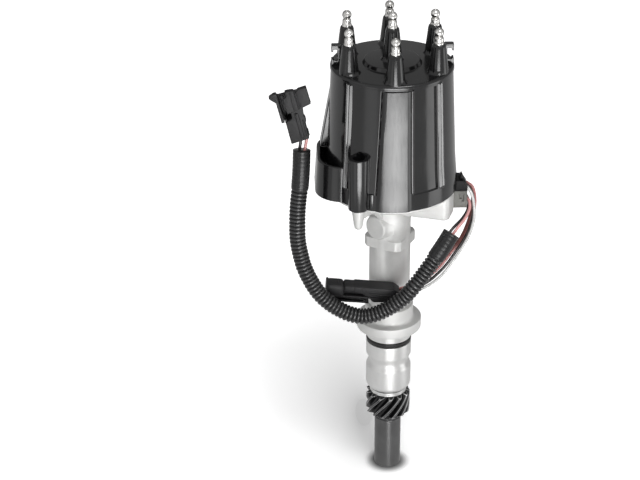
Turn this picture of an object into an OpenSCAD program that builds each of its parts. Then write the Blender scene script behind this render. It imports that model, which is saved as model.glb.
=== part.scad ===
// Six-cylinder engine distributor: cast housing and block pilot, tall moulded cap, and its wiring.
// Z is the shaft axis, pointing up to the cap. The origin is on it, at the underside of the flange.
// The front of the cap, with one plug tower, looks along -Y.

/* [Cap] */
// Diameter of the circle that the plug terminals stand on
tower_circle_d = 72; // [68:0.5:74]
// Number of plug towers
tower_count = 6; // [4:2:8]
// Height of a plug tower above the deck
tower_h = 20.6; // [17:0.1:26]
// Diameter of a plug tower at its top
tower_top_d = 8.8; // [8:0.1:10]
// Diameter of a plug tower at the deck
tower_base_d = 14; // [12:0.1:14]
// Height of the coil tower above the deck
coil_tower_h = 26; // [22:0.1:30]
// Height of the cap from its rim to the deck
cap_h = 94.5; // [90:0.1:100]
// Diameter of the barrel at the deck
cap_top_d = 86.2; // [85:0.1:89]
// Diameter of the barrel above the flared skirt
cap_waist_d = 92; // [90:0.1:93]
// Diameter of the skirt at the rim
cap_skirt_d = 95.6; // [94:0.1:97]
// Height of the flared skirt
skirt_h = 26; // [22:0.5:30]
// Wall of the barrel
cap_wall = 3; // [2:0.1:3.5]
// Thickness of the deck
deck_t = 4; // [3:0.1:6]
// Diameter of the raised disc in the middle of the deck
disc_d = 39; // [34:0.5:44]
// Height of the raised disc
disc_h = 2.7; // [1:0.1:4]
// Angle that the broad front strip fills
strip_angle = 28.5; // [24:0.5:32]
// How far strips and ribs stand off the barrel
strip_proud = 1.1; // [0.5:0.1:1.5]
// Depth of the sunk panel beside the front strip
panel_depth = 0.9; // [0.4:0.1:1.2]
// Diameter of a cap screw boss
screw_boss_d = 14.6; // [13:0.1:16]
// Height of a cap screw boss above the rim
screw_boss_h = 39.6; // [30:0.1:44]
// Height of the vent shroud above the rim
shroud_h = 26.5; // [24:0.1:34]
// How far the vent shroud reaches from the axis
shroud_reach = 55; // [54:0.1:57]
// Wall of the vent shroud
shroud_wall = 2.4; // [1.8:0.1:3]
// Height of a lead clip above the deck
clip_h = 15; // [13:0.1:18]

/* [Terminals] */
// Diameter of the ball on a terminal
ball_d = 6.3; // [5.8:0.1:6.6]
// Height of the ball's centre above its tower
ball_up = 8.3; // [7.6:0.1:9]
// Diameter of the straight foot of a terminal
foot_d = 7; // [6.6:0.1:7.6]
// Diameter of the stem moulded into a tower
stem_d = 4; // [3:0.1:5]
// Gap between the rotor's tip and an electrode
spark_gap = 0.7; // [0.5:0.1:1]
// Diameter of the carbon button
button_d = 6.4; // [5.4:0.1:7]
// Travel of the carbon button
button_travel = 1.5; // [0.5:0.1:2]

/* [Housing] */
// Height of the cap's seat above the flange underside
seat_up = 117.5; // [110:0.5:130]
// Diameter of the head plate
plate_d = 92.6; // [91:0.1:93]
// Thickness of the head plate's edge
plate_t = 2.5; // [2:0.1:4]
// Diameter of the shaft tube
tube_d = 30.2; // [28:0.1:32]
// Diameter of the wrench collar over its cut corners
collar_d = 37.2; // [35:0.1:40]
// Width of the wrench collar across its flats
collar_flats = 29.8; // [27:0.1:30]
// Height of the wrench collar
collar_t = 7.8; // [6:0.1:10]
// Height of the collar's underside above the flange underside
collar_up = 70; // [62:0.5:74]
// Diameter of the hold-down flange
flange_d = 48.2; // [44:0.1:52]
// Thickness of the hold-down flange
flange_t = 7.8; // [6:0.1:10]
// Diameter of the shoulder above the flange
shoulder_d = 35.8; // [33:0.1:40]
// Height of the shoulder above the flange
shoulder_h = 11.2; // [8:0.1:16]
// Diameter of the pilot that fits the engine block
pilot_d = 33.8; // [32:0.1:36]
// Length of the pilot below the flange
pilot_len = 50; // [46:0.5:56]
// Diameter of the thrust nose under the pilot
nose_d = 20; // [18:0.5:24]
// Length of the thrust nose
nose_len = 3.5; // [2:0.1:5]

/* [Grooves] */
// Depth of the top of the seal groove below the flange underside
seal_groove_down = 8; // [6:0.1:10]
// Width of the seal groove
seal_groove_w = 4.3; // [4:0.1:5]
// Thickness of the seal ring
seal_ring_t = 3.9; // [3.5:0.1:4]
// Depth of the top of the oil groove below the flange underside
oil_groove_down = 23; // [20:0.1:26]
// Height of the oil groove
oil_groove_w = 10.8; // [8:0.1:12]
// Diameter at the bottom of the oil groove
oil_groove_d = 28.6; // [27:0.1:31]

/* [Shaft and gear] */
// Diameter of the shaft
shaft_d = 12.7; // [11:0.1:14]
// Diameter of the shaft's upper end in the rotor
spigot_d = 10; // [9:0.1:11]
// Radial clearance of the shaft in its bushings
run_gap = 0.05; // [0.02:0.01:0.1]
// Number of teeth on the drive gear
gear_teeth = 13; // [11:1:15]
// Diameter over the gear's teeth
gear_d = 33.4; // [31:0.1:33.6]
// Face width of the gear
gear_w = 18.9; // [15:0.1:22]
// Helix angle of the gear, right hand
gear_helix = 38; // [25:1:45]
// Diameter of the gear's hub
gear_hub_d = 19.2; // [18:0.1:19.8]
// Length of the gear's hub below the teeth
gear_hub_len = 4.6; // [4:0.1:8]
// Diameter of a thrust washer
washer_d = 27.6; // [24:0.1:30]
// Thickness of a thrust washer
washer_t = 1.4; // [1:0.1:2]
// Diameter of the drive sleeve
sleeve_d = 20; // [18:0.1:22]
// Length of the drive sleeve
sleeve_len = 42.6; // [36:0.1:50]
// Width across flats of the oil pump socket
socket_flats = 9; // [8:0.1:10]
// Depth of the oil pump socket
socket_depth = 12; // [9:0.5:16]

/* [Wiring] */
// Diameter of the corrugated sleeve
loom_d = 11.4; // [9:0.1:12]
// Diameter of a wire
wire_d = 2.2; // [1.8:0.1:2.4]

/* [Hidden] */
$fn = 96;
eps = 0.01;
fit_gap = 0.3;
press_gap = 0.02;
slide_gap = 0.06;

// Where the cap's towers and side features stand
front_angle = 270;
tower_step = 360 / tower_count;
tower_r = tower_circle_d / 2;
tower_root = 4;
rib_angles = [45, 135, 224, 317.5];
rib_w = 4.6;
screw_angles = [58.5, 238.5];
screw_boss_r = 48;
cap_rim_z = seat_up;
deck_z = cap_rim_z + cap_h;
cap_inside_z = deck_z - deck_t;
deck_edge = 2;
edge_steps = 3;
skirt_low_h = 8;
rim_step = 0.3;
disc_z = deck_z + disc_h;
strip_top_h = cap_h - 0.7;
strip_from = front_angle - 14;
panel_low_h = 12;
key_w = 5.2;
key_h = 13;
panel_angles = [287, 312];

// The cap screws go down through the bosses into blind holes in the housing
screw_d = 4.8;
screw_head_d = 8;
screw_head_t = 4.5;
screw_seat_h = 20;
screw_hole_down = 11;
screw_len_down = 9;

// The vent shroud is a round-ended ring on the left of the cap, with a hood over it
shroud_half = 10.5;
shroud_end_r = 20.5;
shroud_draft = 1.8;
hood_bottom_h = 30;
hood_mid_h = 58.8;
hood_top_h = 77.5;
hood_out = 50.9;
hood_mid_out = 45.9;
hood_front_y = -1;
hood_len = 13;

// The lead clips are posts with a notch, left and right of the deck
clip_reach = 42.9;
clip_front_y = -5.2;
clip_w = 5.2;
clip_depth = 6.6;
clip_notch_up = 4.8;
clip_notch_h = 7;
clip_notch_depth = 4.7;
clip_lip = 1.9;
clip_lip_t = 1.4;

// Inside the cap, from the deck down
electrode_h = 10.5;
electrode_w = 6;
electrode_t = 5;
sleeve_in_d = 10;
sleeve_in_h = 6.4;
electrode_top_z = cap_inside_z - sleeve_in_h;
rotor_tip_r = tower_r - electrode_t + 1 - spark_gap;
blade_t = 1.5;
blade_z = electrode_top_z - electrode_h / 2 - blade_t / 2 - 3;
contact_rise = 3.8;
contact_t = 0.4;
button_low_z = blade_z + blade_t + contact_rise + fit_gap;
button_h = 11;
button_boss_d = 13;
spring_closed_h = 5.5;
stud_low_z = button_low_z + button_h + spring_closed_h + button_travel;

// The rotor
rotor_hub_d = 19;
rotor_hub_h = 50;
rotor_disc_d = 42;
rotor_disc_t = 5;
rotor_arm_w = 13;
blade_w = 8;
rotor_top_z = blade_z;
rotor_low_z = rotor_top_z - rotor_hub_h;
rotor_bore_h = 29;

// The timing pickup on the head plate, from the plate up
core_r = 17.5;
core_gap = 0.8;
core_h = 8;
core_tooth_w = 7;
core_up = 3.5;
magnet_h = 3;
bobbin_h = 3.9;
pickup_in_r = 19.5;
pickup_out_r = 27.5;
bobbin_flange = 0.8;
winding_in = 1.2;
pole_t = 2;
magnet_z = seat_up;
bobbin_z = magnet_z + magnet_h;
pole_z = bobbin_z + bobbin_h;
core_z = seat_up + core_up;
pickup_ear_r = 32;
pickup_ear_angles = [90, 270];
pickup_ear_w = 7.4;
pole_step = 0.2;
pickup_screw_d = 3;
pickup_head_d = 5.6;
pickup_head_t = 2;
pickup_thread_len = 5;
pickup_post_d = 7;

// The head plate, its pocket for the ignition module and its ribs
plate_rib_down = 3;
plate_rib_d = 80;
spigot_gap = 0.4;
spigot_h = 2;
spigot_wall = 3;
pocket_down = 20.5;
pocket_wall = 2.6;
pocket_d = 92;
pocket_front = [[8, -13], [38, -22.5]];
pocket_back_y = 20;
pocket_in_x = 18.5;
pocket_z = seat_up - pocket_down;
pocket_floor_z = pocket_z + pocket_wall;
boss_down = 13;
boss_top_d = 9.8;
boss_tip_d = 6.4;
web_t = 4;
pad_d = 18;
pad_reach = 17.6;
pad_up = 10;
bore_core_d = 21;
bush_d = 17;
upper_bush_len = 20;
lower_bush_len = 24;
seal_h = 3;
shaft_seal_d = 18.6;
edge_cut = 2;

// The module and the two plugs on it
module_x = [20, 40];
module_y = [-12.6, 14];
module_plate_t = 1.6;
module_top_z = seat_up - 5.3;
dock_x = 33;
dock_end_x = 42.7;
dock_y = [-5.8, 8.3];
dock_top_z = seat_up + 4.6;
plug_start_x = 43;
plug_end_x = 55.3;
plug_in = 6.4;
plug_split_z = seat_up - 4.6;
plug_gap = 0.1;
coil_plug_low_z = seat_up - 18;
timing_plug_top_z = seat_up + 3.5;
plug_front_y = -6;
coil_plug_back_y = 7;
timing_plug_back_y = 8.4;
plug_shell = 2.4;
window_gap = 0.5;

// The shaft from its thrust face down
shaft_r = shaft_d / 2;
nose_z = -pilot_len - nose_len;
washer_z = nose_z - slide_gap - washer_t;
shim_z = washer_z - slide_gap - washer_t;
gear_top_z = shim_z - slide_gap;
gear_low_z = gear_top_z - gear_w;
gear_hub_z = gear_low_z - gear_hub_len;
sleeve_top_z = gear_hub_z - slide_gap;
sleeve_low_z = sleeve_top_z - sleeve_len;
shaft_low_z = sleeve_low_z + socket_depth + 3;
shaft_step_z = core_z + core_h + 1;
shaft_top_z = rotor_low_z + rotor_bore_h - 1;
spigot_flat = 1.2;
gear_pin_d = 3;
gear_pin_z = gear_hub_z + gear_hub_len / 2;
sleeve_pin_d = 4;
sleeve_pin_z = sleeve_top_z - 14;

// The gear is an involute cut whose size follows from its outside diameter
gear_module = gear_d / (gear_teeth / cos(gear_helix) + 2);
gear_pitch_r = gear_teeth * gear_module / cos(gear_helix) / 2;
gear_root_r = gear_pitch_r - 1.2 * gear_module;
gear_pressure = atan(tan(20) / cos(gear_helix));
gear_base_r = gear_pitch_r * cos(gear_pressure);
gear_twist = gear_w * tan(gear_helix) / gear_pitch_r * 180 / PI;
gear_slices = 10;
gear_bevel = 1.6;
flank_steps = 4;
root_fillet = 0.5;
root_spread = 1.6;

// The connector on the end of the corrugated sleeve, and how it leans
coil_end_at = [-64.7, -25, 163.5];
coil_end_lean = -14;
coil_end_half = 6;
coil_end_cavities = [0.5, 5.1];

// The flat connector on the four timing wires, and how it leans
timing_end_at = [-48, -22, 43.7];
timing_end_lean = 4;
timing_end_half = 6.4;
timing_pins = [-3.75, -1.25, 1.25, 3.75];

// Routes of the sleeve and the wires
loom_route = [[43, -22, 87], [37, -25, 78], [30.8, -27.5, 69.3], [25.6, -30, 62.6], [20.6, -32, 56],
    [15.5, -34, 50], [10, -35, 43.4], [3.2, -36, 37.9], [-4.5, -36.5, 33], [-13, -37, 29.4],
    [-22, -37, 28], [-31.2, -37, 30.3], [-39, -36.5, 34.3], [-46.7, -36, 40], [-53.3, -35, 47],
    [-58.4, -34, 55.2], [-63, -33, 65.3], [-65.5, -32, 74], [-68, -31, 88], [-68.2, -30, 104],
    [-67.6, -29, 115.5], [-66, -28, 130], [-65, -27, 143.5], [-64.5, -25, 156.5]];
coil_pink_route = [[55.3, 0, 105], [57.2, -3, 103.6], [57, -8, 99.6], [53.6, -13.8, 95],
    [48.8, -18.6, 91.2], [44.1, -22, 86.3]];
coil_black_route = [[55.3, 5, 105], [57.2, 1, 101.6], [55.8, -5, 97], [51.4, -12, 93.6],
    [46, -18, 91], [41.9, -22, 87.7]];
coil_tail_pink_route = [[-62.4, -25, 156.5], [-61.6, -25, 161], [-60.5, -25, 167.6]];
coil_tail_black_route = [[-66, -25, 156.5], [-65.4, -25, 161], [-64.9, -25, 166.5]];
timing_white_route = [[55.3, -2.2, 114.6], [58.8, -2.8, 109], [60.7, -5, 99.5], [60.2, -8.4, 89],
    [56, -11.6, 77.5], [46.5, -15.4, 62.5], [36, -18.6, 49.6], [23, -22.8, 42.4], [6, -25.8, 39.6]];
timing_black_route = [[55.3, 0.6, 114.6], [59.2, 0.2, 109], [60.7, -2, 99.5], [59.4, -5.4, 89.5],
    [55.6, -8.8, 79.5], [47.8, -12.4, 67.4], [38, -15.4, 54.6], [24, -20, 44.4], [6, -23.2, 39.6]];
timing_brown_route = [[55.3, 3.4, 114.6], [59.4, 3.2, 108], [59.6, 0.6, 98], [56.8, -4, 87.6],
    [50.6, -9.8, 76], [42.2, -13.4, 67], [31.6, -16.4, 55.6], [19.6, -18.8, 45.4], [6, -20.6, 39.6]];
timing_pink_route = [[55.3, 6.2, 114.6], [60.4, 6.4, 110], [62.3, 4.6, 100.5], [60.8, 0.4, 90.6],
    [56, -5, 80.6], [45.4, -10.6, 66.8], [33.6, -14.6, 53], [20.4, -16.6, 43.8], [6, -18, 39.6]];

// A ring of points round a centre, on two directions across the tube
function ring(at, u, v, r, sides) =
    [for (i = [0:sides - 1]) at + r * (cos(360 * i / sides) * u + sin(360 * i / sides) * v)];
function unit(v) = v / norm(v);
function along(path, i) =
    unit(path[min(i + 1, len(path) - 1)] - path[max(i - 1, 0)]);
// A direction across the path that turns with it as little as possible
function across(path, i) =
    let (t = along(path, i))
    i == 0 ? unit(cross(t, abs(t[2]) < 0.9 ? [0, 0, 1] : [1, 0, 0]))
           : let (u = across(path, i - 1)) unit(u - (u * t) * t);

// A closed tube swept along a path
module tube(path, d, sides) {
    rings = [for (i = [0:len(path) - 1])
        let (u = across(path, i), v = cross(along(path, i), u))
        each ring(path[i], u, v, d / 2, sides)];
    last = len(path) - 1;
    walls = [for (i = [0:last - 1], k = [0:sides - 1])
        let (n = (k + 1) % sides)
        each [[i * sides + k, (i + 1) * sides + k, (i + 1) * sides + n],
              [i * sides + k, (i + 1) * sides + n, i * sides + n]]];
    low_end = [for (k = [0:sides - 1]) k];
    high_end = [for (k = [sides - 1:-1:0]) last * sides + k];
    polyhedron(rings, concat([low_end, high_end], walls), convexity = 8);
}

module round_ring(out_d, in_d, h) {
    difference() {
        cylinder(d = out_d, h = h);
        translate([0, 0, -1]) cylinder(d = in_d, h = h + 2);
    }
}

// A slice of a full turn between two angles, used to keep part of a revolved shape
module sector(from, to, r, z, h) {
    mid = (from + to) / 2;
    translate([0, 0, z])
        linear_extrude(h)
            polygon([[0, 0], r * [cos(from), sin(from)], r * 1.2 * [cos(mid), sin(mid)],
                r * [cos(to), sin(to)]]);
}

// The barrel's form, grown or shrunk by an even amount all round, with a quarter round at the deck
module barrel(grow, low_h, top_h) {
    edge_r = cap_top_d / 2 - deck_edge + grow;
    translate([0, 0, cap_rim_z])
        rotate_extrude($fn = 180)
            polygon(concat([[0, low_h], [cap_skirt_d / 2 + grow, low_h],
                [cap_skirt_d / 2 - 0.2 + grow, skirt_low_h], [cap_waist_d / 2 + grow, skirt_h]],
                [for (i = [0:edge_steps]) let (a = 90 * i / edge_steps)
                    [edge_r + deck_edge * cos(a), top_h - deck_edge + deck_edge * sin(a)]],
                [[0, top_h]]));
}

// A plug tower with a rounded shoulder
module tower(h, top_d, base_d) {
    rotate_extrude()
        polygon([[0, -tower_root], [base_d / 2, -tower_root], [base_d / 2, 0.8],
            [top_d / 2 + 0.5, h - 1.6], [top_d / 2, h - 0.5], [top_d / 2 - 0.5, h], [0, h]]);
}

// The vent shroud's outer form: two tapered round ends and the straight side between them
module shroud_form(inset) {
    top_r = shroud_end_r - shroud_draft;
    centre_x = -shroud_reach + shroud_end_r;
    translate([centre_x, 0, cap_rim_z]) {
        for (side = [-1, 1])
            translate([0, side * shroud_half, 0])
                cylinder(r1 = shroud_end_r - inset, r2 = top_r - inset, h = shroud_h);
        rotate([90, 0, 0])
            linear_extrude(2 * shroud_half, center = true)
                polygon([[0, 0], [-shroud_end_r + inset, 0], [-top_r + inset, shroud_h],
                    [0, shroud_h]]);
    }
}

// The hood over the shroud's slot, sloping out from the barrel
module hood_form(inset, low) {
    translate([0, hood_front_y + hood_len - inset, cap_rim_z])
        rotate([90, 0, 0])
            linear_extrude(hood_len - 2 * inset)
                polygon([[-cap_waist_d / 2 + cap_wall, low], [-hood_out + inset, low],
                    [-hood_mid_out + inset, hood_mid_h], [-cap_top_d / 2 + 0.5, hood_top_h - inset],
                    [-cap_top_d / 2 + cap_wall, hood_top_h - inset]]);
}

// A lead clip: a post with a notch that opens outwards under a turned-down lip
module lead_clip() {
    translate([clip_reach - clip_depth, clip_front_y, deck_z - 1])
        difference() {
            cube([clip_depth, clip_w, clip_h + 1]);
            translate([clip_depth - clip_notch_depth, -1, clip_notch_up + 1])
                cube([clip_notch_depth + 1, clip_w + 2, clip_notch_h - clip_lip]);
            translate([clip_depth - clip_notch_depth, -1, clip_notch_up])
                cube([clip_notch_depth - clip_lip_t, clip_w + 2, clip_notch_h + 1]);
        }
}

module screw_boss(d, low_z, h) {
    for (a = screw_angles)
        rotate([0, 0, a])
            translate([screw_boss_r, 0, low_z]) cylinder(d = d, h = h);
}

module cap_outside() {
    barrel(0, 0, cap_h);
    for (turn = [0, 180])
        rotate([0, 0, turn])
            intersection() {
                barrel(strip_proud, 0, strip_top_h);
                sector(strip_from, strip_from + strip_angle, 60, cap_rim_z - 1, cap_h + 2);
            }
    for (a = rib_angles)
        intersection() {
            barrel(strip_proud, 0, cap_h - 0.4);
            rotate([0, 0, a]) translate([20, -rib_w / 2, cap_rim_z + panel_low_h])
                cube([40, rib_w, cap_h]);
        }
    difference() {
        shroud_form(0);
        translate([0, 0, -eps]) shroud_form(shroud_wall);
    }
    difference() {
        hood_form(0, hood_bottom_h);
        hood_form(1.8, hood_bottom_h - 1);
    }
    rotate([0, 0, front_angle - 20])
        translate([40, -key_w / 2, cap_rim_z + 2 * rim_step]) cube([8.4, key_w, key_h - 2 * rim_step]);
    translate([0, 0, deck_z - 1]) cylinder(d1 = disc_d + 3, d2 = disc_d, h = 1 + disc_h);
    translate([0, 0, disc_z]) tower(coil_tower_h - disc_h, tower_top_d, tower_base_d);
    for (i = [0:tower_count - 1])
        rotate([0, 0, front_angle + i * tower_step])
            translate([tower_r, 0, deck_z]) tower(tower_h, tower_top_d, tower_base_d);
    lead_clip();
    mirror([1, 0, 0]) lead_clip();
}

module distributor_cap() {
    color([0.13, 0.13, 0.135])
    difference() {
        union() {
            difference() {
                cap_outside();
                barrel(-cap_wall, -1, cap_h - deck_t);
                difference() {
                    intersection() {
                        barrel(strip_proud + 1, 0, cap_h - 1.4);
                        sector(panel_angles[0], panel_angles[1], 60, cap_rim_z + panel_low_h, cap_h);
                    }
                    barrel(-panel_depth, 0, cap_h);
                }
            }
            screw_boss(screw_boss_d, cap_rim_z + rim_step, screw_boss_h - rim_step);
            for (i = [0:tower_count - 1])
                rotate([0, 0, front_angle + i * tower_step])
                    translate([tower_r, 0, electrode_top_z])
                        cylinder(d = sleeve_in_d, h = sleeve_in_h + 1);
            translate([0, 0, button_low_z + 4]) cylinder(d = button_boss_d,
                h = cap_inside_z - button_low_z - 3);
        }
        for (i = [0:tower_count - 1])
            rotate([0, 0, front_angle + i * tower_step])
                translate([tower_r, 0, electrode_top_z - 1])
                    cylinder(d = stem_d + 2 * press_gap, h = tower_h + deck_t + sleeve_in_h + 3);
        translate([0, 0, button_low_z + 3])
            cylinder(d = button_d + 2 * slide_gap, h = stud_low_z - button_low_z - 3);
        translate([0, 0, stud_low_z - 1])
            cylinder(d = stem_d + 2 * press_gap, h = deck_z + coil_tower_h - stud_low_z + 3);
        screw_boss(screw_head_d + 1, cap_rim_z + screw_seat_h, screw_boss_h - screw_seat_h + 1);
        for (a = screw_angles)
            rotate([0, 0, a])
                translate([screw_boss_r, 0, cap_rim_z + screw_boss_h])
                    sphere(d = screw_head_d + 1, $fn = 48);
        screw_boss(screw_d + 0.6, cap_rim_z - 1, cap_h);
        translate([30, dock_y[0] - window_gap - plug_gap, cap_rim_z - 1])
            cube([30, dock_y[1] - dock_y[0] + 2 * window_gap + plug_gap,
                dock_top_z - cap_rim_z + 1 + window_gap]);
    }
}

// A male plug terminal: straight foot, neck and ball, standing on top of its tower
module terminal_head(foot_h) {
    rotate_extrude()
        polygon([[0, 0], [foot_d / 2, 0], [foot_d / 2, foot_h], [ball_d / 2 - 0.1, foot_h + 2],
            [ball_d / 2 - 0.5, ball_up - 3], [2.2, ball_up - 2.4], [0, ball_up - 2.4]]);
    translate([0, 0, ball_up]) sphere(d = ball_d, $fn = 48);
}

module plug_terminals() {
    color([0.82, 0.82, 0.8])
    for (i = [0:tower_count - 1])
        rotate([0, 0, front_angle + i * tower_step]) {
            translate([tower_r, 0, deck_z + tower_h]) terminal_head(2.6);
            translate([tower_r, 0, electrode_top_z - 1])
                cylinder(d = stem_d, h = tower_h + deck_t + sleeve_in_h + 1 + eps);
            translate([tower_r - electrode_t + 1, -electrode_w / 2, electrode_top_z - electrode_h])
                cube([electrode_t, electrode_w, electrode_h]);
        }
}

module coil_terminal() {
    color([0.82, 0.82, 0.8]) {
        translate([0, 0, deck_z + coil_tower_h]) terminal_head(2.6);
        translate([0, 0, stud_low_z])
            cylinder(d = stem_d, h = deck_z + coil_tower_h - stud_low_z + eps);
    }
}

module carbon_button() {
    color([0.2, 0.2, 0.21])
    translate([0, 0, button_low_z]) {
        translate([0, 0, button_d / 2 - 1.4])
            intersection() {
                sphere(d = button_d);
                translate([0, 0, 1.4 - button_d / 2]) cylinder(d = button_d + 1, h = button_d / 2);
            }
        translate([0, 0, button_d / 2 - 1.4])
            cylinder(d = button_d, h = button_h - button_d / 2 + 1.4);
    }
}

// The button's spring, drawn as its closed outer form
module button_spring() {
    color([0.6, 0.6, 0.62])
    translate([0, 0, button_low_z + button_h + eps])
        round_ring(5, 3.4, stud_low_z - button_low_z - button_h - 2 * eps);
}

module cap_screws() {
    color([0.55, 0.55, 0.56])
    for (a = screw_angles)
        rotate([0, 0, a])
            translate([screw_boss_r, 0, cap_rim_z]) {
                translate([0, 0, screw_seat_h])
                    difference() {
                        cylinder(d = screw_head_d, h = screw_head_t);
                        translate([0, 0, screw_head_t - 2.5]) cylinder(d = 4.6, h = 4, $fn = 6);
                    }
                translate([0, 0, -screw_len_down])
                    cylinder(d = screw_d, h = screw_len_down + screw_seat_h + 1);
            }
}

module rotor() {
    color([0.17, 0.17, 0.18])
    rotate([0, 0, front_angle])
    difference() {
        union() {
            translate([0, 0, rotor_low_z]) cylinder(d = rotor_hub_d, h = rotor_hub_h);
            translate([0, 0, rotor_top_z - rotor_disc_t - 2])
                cylinder(d = rotor_disc_d, h = rotor_disc_t);
            intersection() {
                translate([-18, -rotor_arm_w / 2, rotor_top_z - 7])
                    cube([18 + rotor_tip_r, rotor_arm_w, 7]);
                cylinder(r = rotor_tip_r - 1.5, h = rotor_top_z + 1);
            }
            for (a = [0, 90, 180, 270])
                rotate([0, 0, a])
                    translate([0, 1.25, 0]) rotate([90, 0, 0])
                        linear_extrude(2.5)
                            polygon([[0, rotor_low_z + 4], [rotor_hub_d / 2 + 1, rotor_low_z + 4],
                                [rotor_disc_d / 2 - 2, rotor_top_z - 6], [0, rotor_top_z - 6]]);
        }
        difference() {
            translate([0, 0, rotor_low_z - 1])
                cylinder(d = spigot_d + 2 * press_gap, h = rotor_bore_h + 1);
            translate([-10, spigot_d / 2 - spigot_flat + press_gap, rotor_low_z - 2])
                cube([20, 10, rotor_bore_h + 4]);
        }
    }
}

module rotor_blade() {
    color([0.78, 0.66, 0.36])
    rotate([0, 0, front_angle])
    intersection() {
        union() {
            translate([-6, -blade_w / 2, blade_z]) cube([rotor_tip_r + 7, blade_w, blade_t]);
            translate([rotor_tip_r - 3, -blade_w, blade_z]) cube([6, 2 * blade_w, blade_t]);
        }
        cylinder(r = rotor_tip_r, h = blade_z + 5);
    }
}

// The leaf spring that the carbon button rubs on
module rotor_contact() {
    rise = contact_rise;
    color([0.8, 0.7, 0.42])
    rotate([0, 0, front_angle])
    translate([0, 2.5, blade_z + blade_t])
        rotate([90, 0, 0])
            linear_extrude(5)
                polygon([[15, 0], [9, 0], [3.5, rise - contact_t], [-3.5, rise - contact_t],
                    [-3.5, rise], [3.8, rise], [9.3, contact_t], [15, contact_t]]);
}

module timer_core() {
    color([0.5, 0.5, 0.52])
    translate([0, 0, core_z])
        difference() {
            union() {
                cylinder(r = core_r - 3.4, h = core_h);
                intersection() {
                    cylinder(r = core_r, h = core_h);
                    for (i = [0:tower_count - 1])
                        rotate([0, 0, front_angle + i * tower_step])
                            translate([0, -core_tooth_w / 2, 0]) cube([30, core_tooth_w, core_h]);
                }
            }
            translate([0, 0, -1]) cylinder(r = shaft_r + press_gap, h = core_h + 2);
        }
}

module pole_piece() {
    color([0.58, 0.58, 0.6])
    translate([0, 0, pole_z])
        difference() {
            union() {
                round_ring(2 * pickup_out_r, 2 * core_r + 6.5, pole_t);
                difference() {
                    for (i = [0:tower_count - 1])
                        rotate([0, 0, front_angle + i * tower_step])
                            translate([0, -core_tooth_w / 2, pole_step])
                                cube([pickup_in_r + 4, core_tooth_w, pole_t - 2 * pole_step]);
                    translate([0, 0, -1]) cylinder(r = core_r + core_gap, h = pole_t + 2);
                }
                for (a = pickup_ear_angles)
                    rotate([0, 0, a]) {
                        translate([pickup_in_r + 3, -pickup_ear_w / 2, 0])
                            cube([pickup_ear_r - pickup_in_r - 3, pickup_ear_w, pole_t]);
                        translate([pickup_ear_r, 0, 0]) cylinder(d = pickup_ear_w + 0.8, h = pole_t);
                    }
            }
            for (a = pickup_ear_angles)
                rotate([0, 0, a])
                    translate([pickup_ear_r, 0, -1]) cylinder(d = pickup_screw_d + 0.4, h = pole_t + 2);
        }
}

module pickup_magnet() {
    color([0.3, 0.3, 0.31])
    translate([0, 0, magnet_z]) round_ring(2 * pickup_out_r, 2 * pickup_in_r, magnet_h);
}

module pickup_bobbin() {
    color([0.2, 0.2, 0.2])
    translate([0, 0, bobbin_z])
        difference() {
            round_ring(2 * pickup_out_r, 2 * pickup_in_r, bobbin_h);
            translate([0, 0, bobbin_flange])
                round_ring(2 * pickup_out_r + 2, 2 * (pickup_in_r + winding_in),
                    bobbin_h - 2 * bobbin_flange);
        }
}

module pickup_winding() {
    color([0.62, 0.36, 0.2])
    translate([0, 0, bobbin_z + bobbin_flange])
        round_ring(2 * pickup_out_r - 1.2, 2 * (pickup_in_r + winding_in),
            bobbin_h - 2 * bobbin_flange);
}

module pickup_screws() {
    color([0.6, 0.6, 0.6])
    for (a = pickup_ear_angles)
        rotate([0, 0, a])
            translate([pickup_ear_r, 0, pole_z]) {
                translate([0, 0, pole_t]) cylinder(d = pickup_head_d, h = pickup_head_t);
                translate([0, 0, -pickup_thread_len])
                    cylinder(d = pickup_screw_d, h = pickup_thread_len + pole_t + pickup_head_t / 2);
            }
}

module ignition_module() {
    base_z = pocket_floor_z + module_plate_t;
    color([0.16, 0.16, 0.17])
    difference() {
        union() {
            translate([module_x[0], module_y[0], base_z])
                cube([module_x[1] - module_x[0], module_y[1] - module_y[0], module_top_z - base_z]);
            translate([dock_x, dock_y[0], base_z])
                cube([dock_end_x - dock_x, dock_y[1] - dock_y[0], dock_top_z - base_z]);
        }
        plug_socket(coil_plug_low_z, plug_split_z, coil_plug_back_y);
        plug_socket(plug_split_z + 2 * plug_gap, timing_plug_top_z, timing_plug_back_y);
    }
}

// The space in the module's dock that a plug's nose goes into
module plug_socket(low_z, top_z, back_y) {
    translate([plug_start_x - plug_in - plug_gap, plug_front_y + plug_shell - plug_gap,
        low_z + plug_shell - plug_gap])
        cube([20, back_y - plug_front_y - 2 * plug_shell + 2 * plug_gap,
            top_z - low_z - 2 * plug_shell + 2 * plug_gap]);
}

module module_plate() {
    color([0.7, 0.7, 0.72])
    translate([module_x[0], module_y[0], pocket_floor_z])
        cube([module_x[1] - module_x[0], module_y[1] - module_y[0], module_plate_t]);
}

// A plug's outer block and the nose that goes into the module
module plug_block(low_z, top_z, back_y) {
    translate([plug_start_x, plug_front_y, low_z])
        cube([plug_end_x - plug_start_x, back_y - plug_front_y, top_z - low_z]);
    translate([plug_start_x - plug_in, plug_front_y + plug_shell, low_z + plug_shell])
        cube([plug_in + 1, back_y - plug_front_y - 2 * plug_shell, top_z - low_z - 2 * plug_shell]);
}

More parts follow.
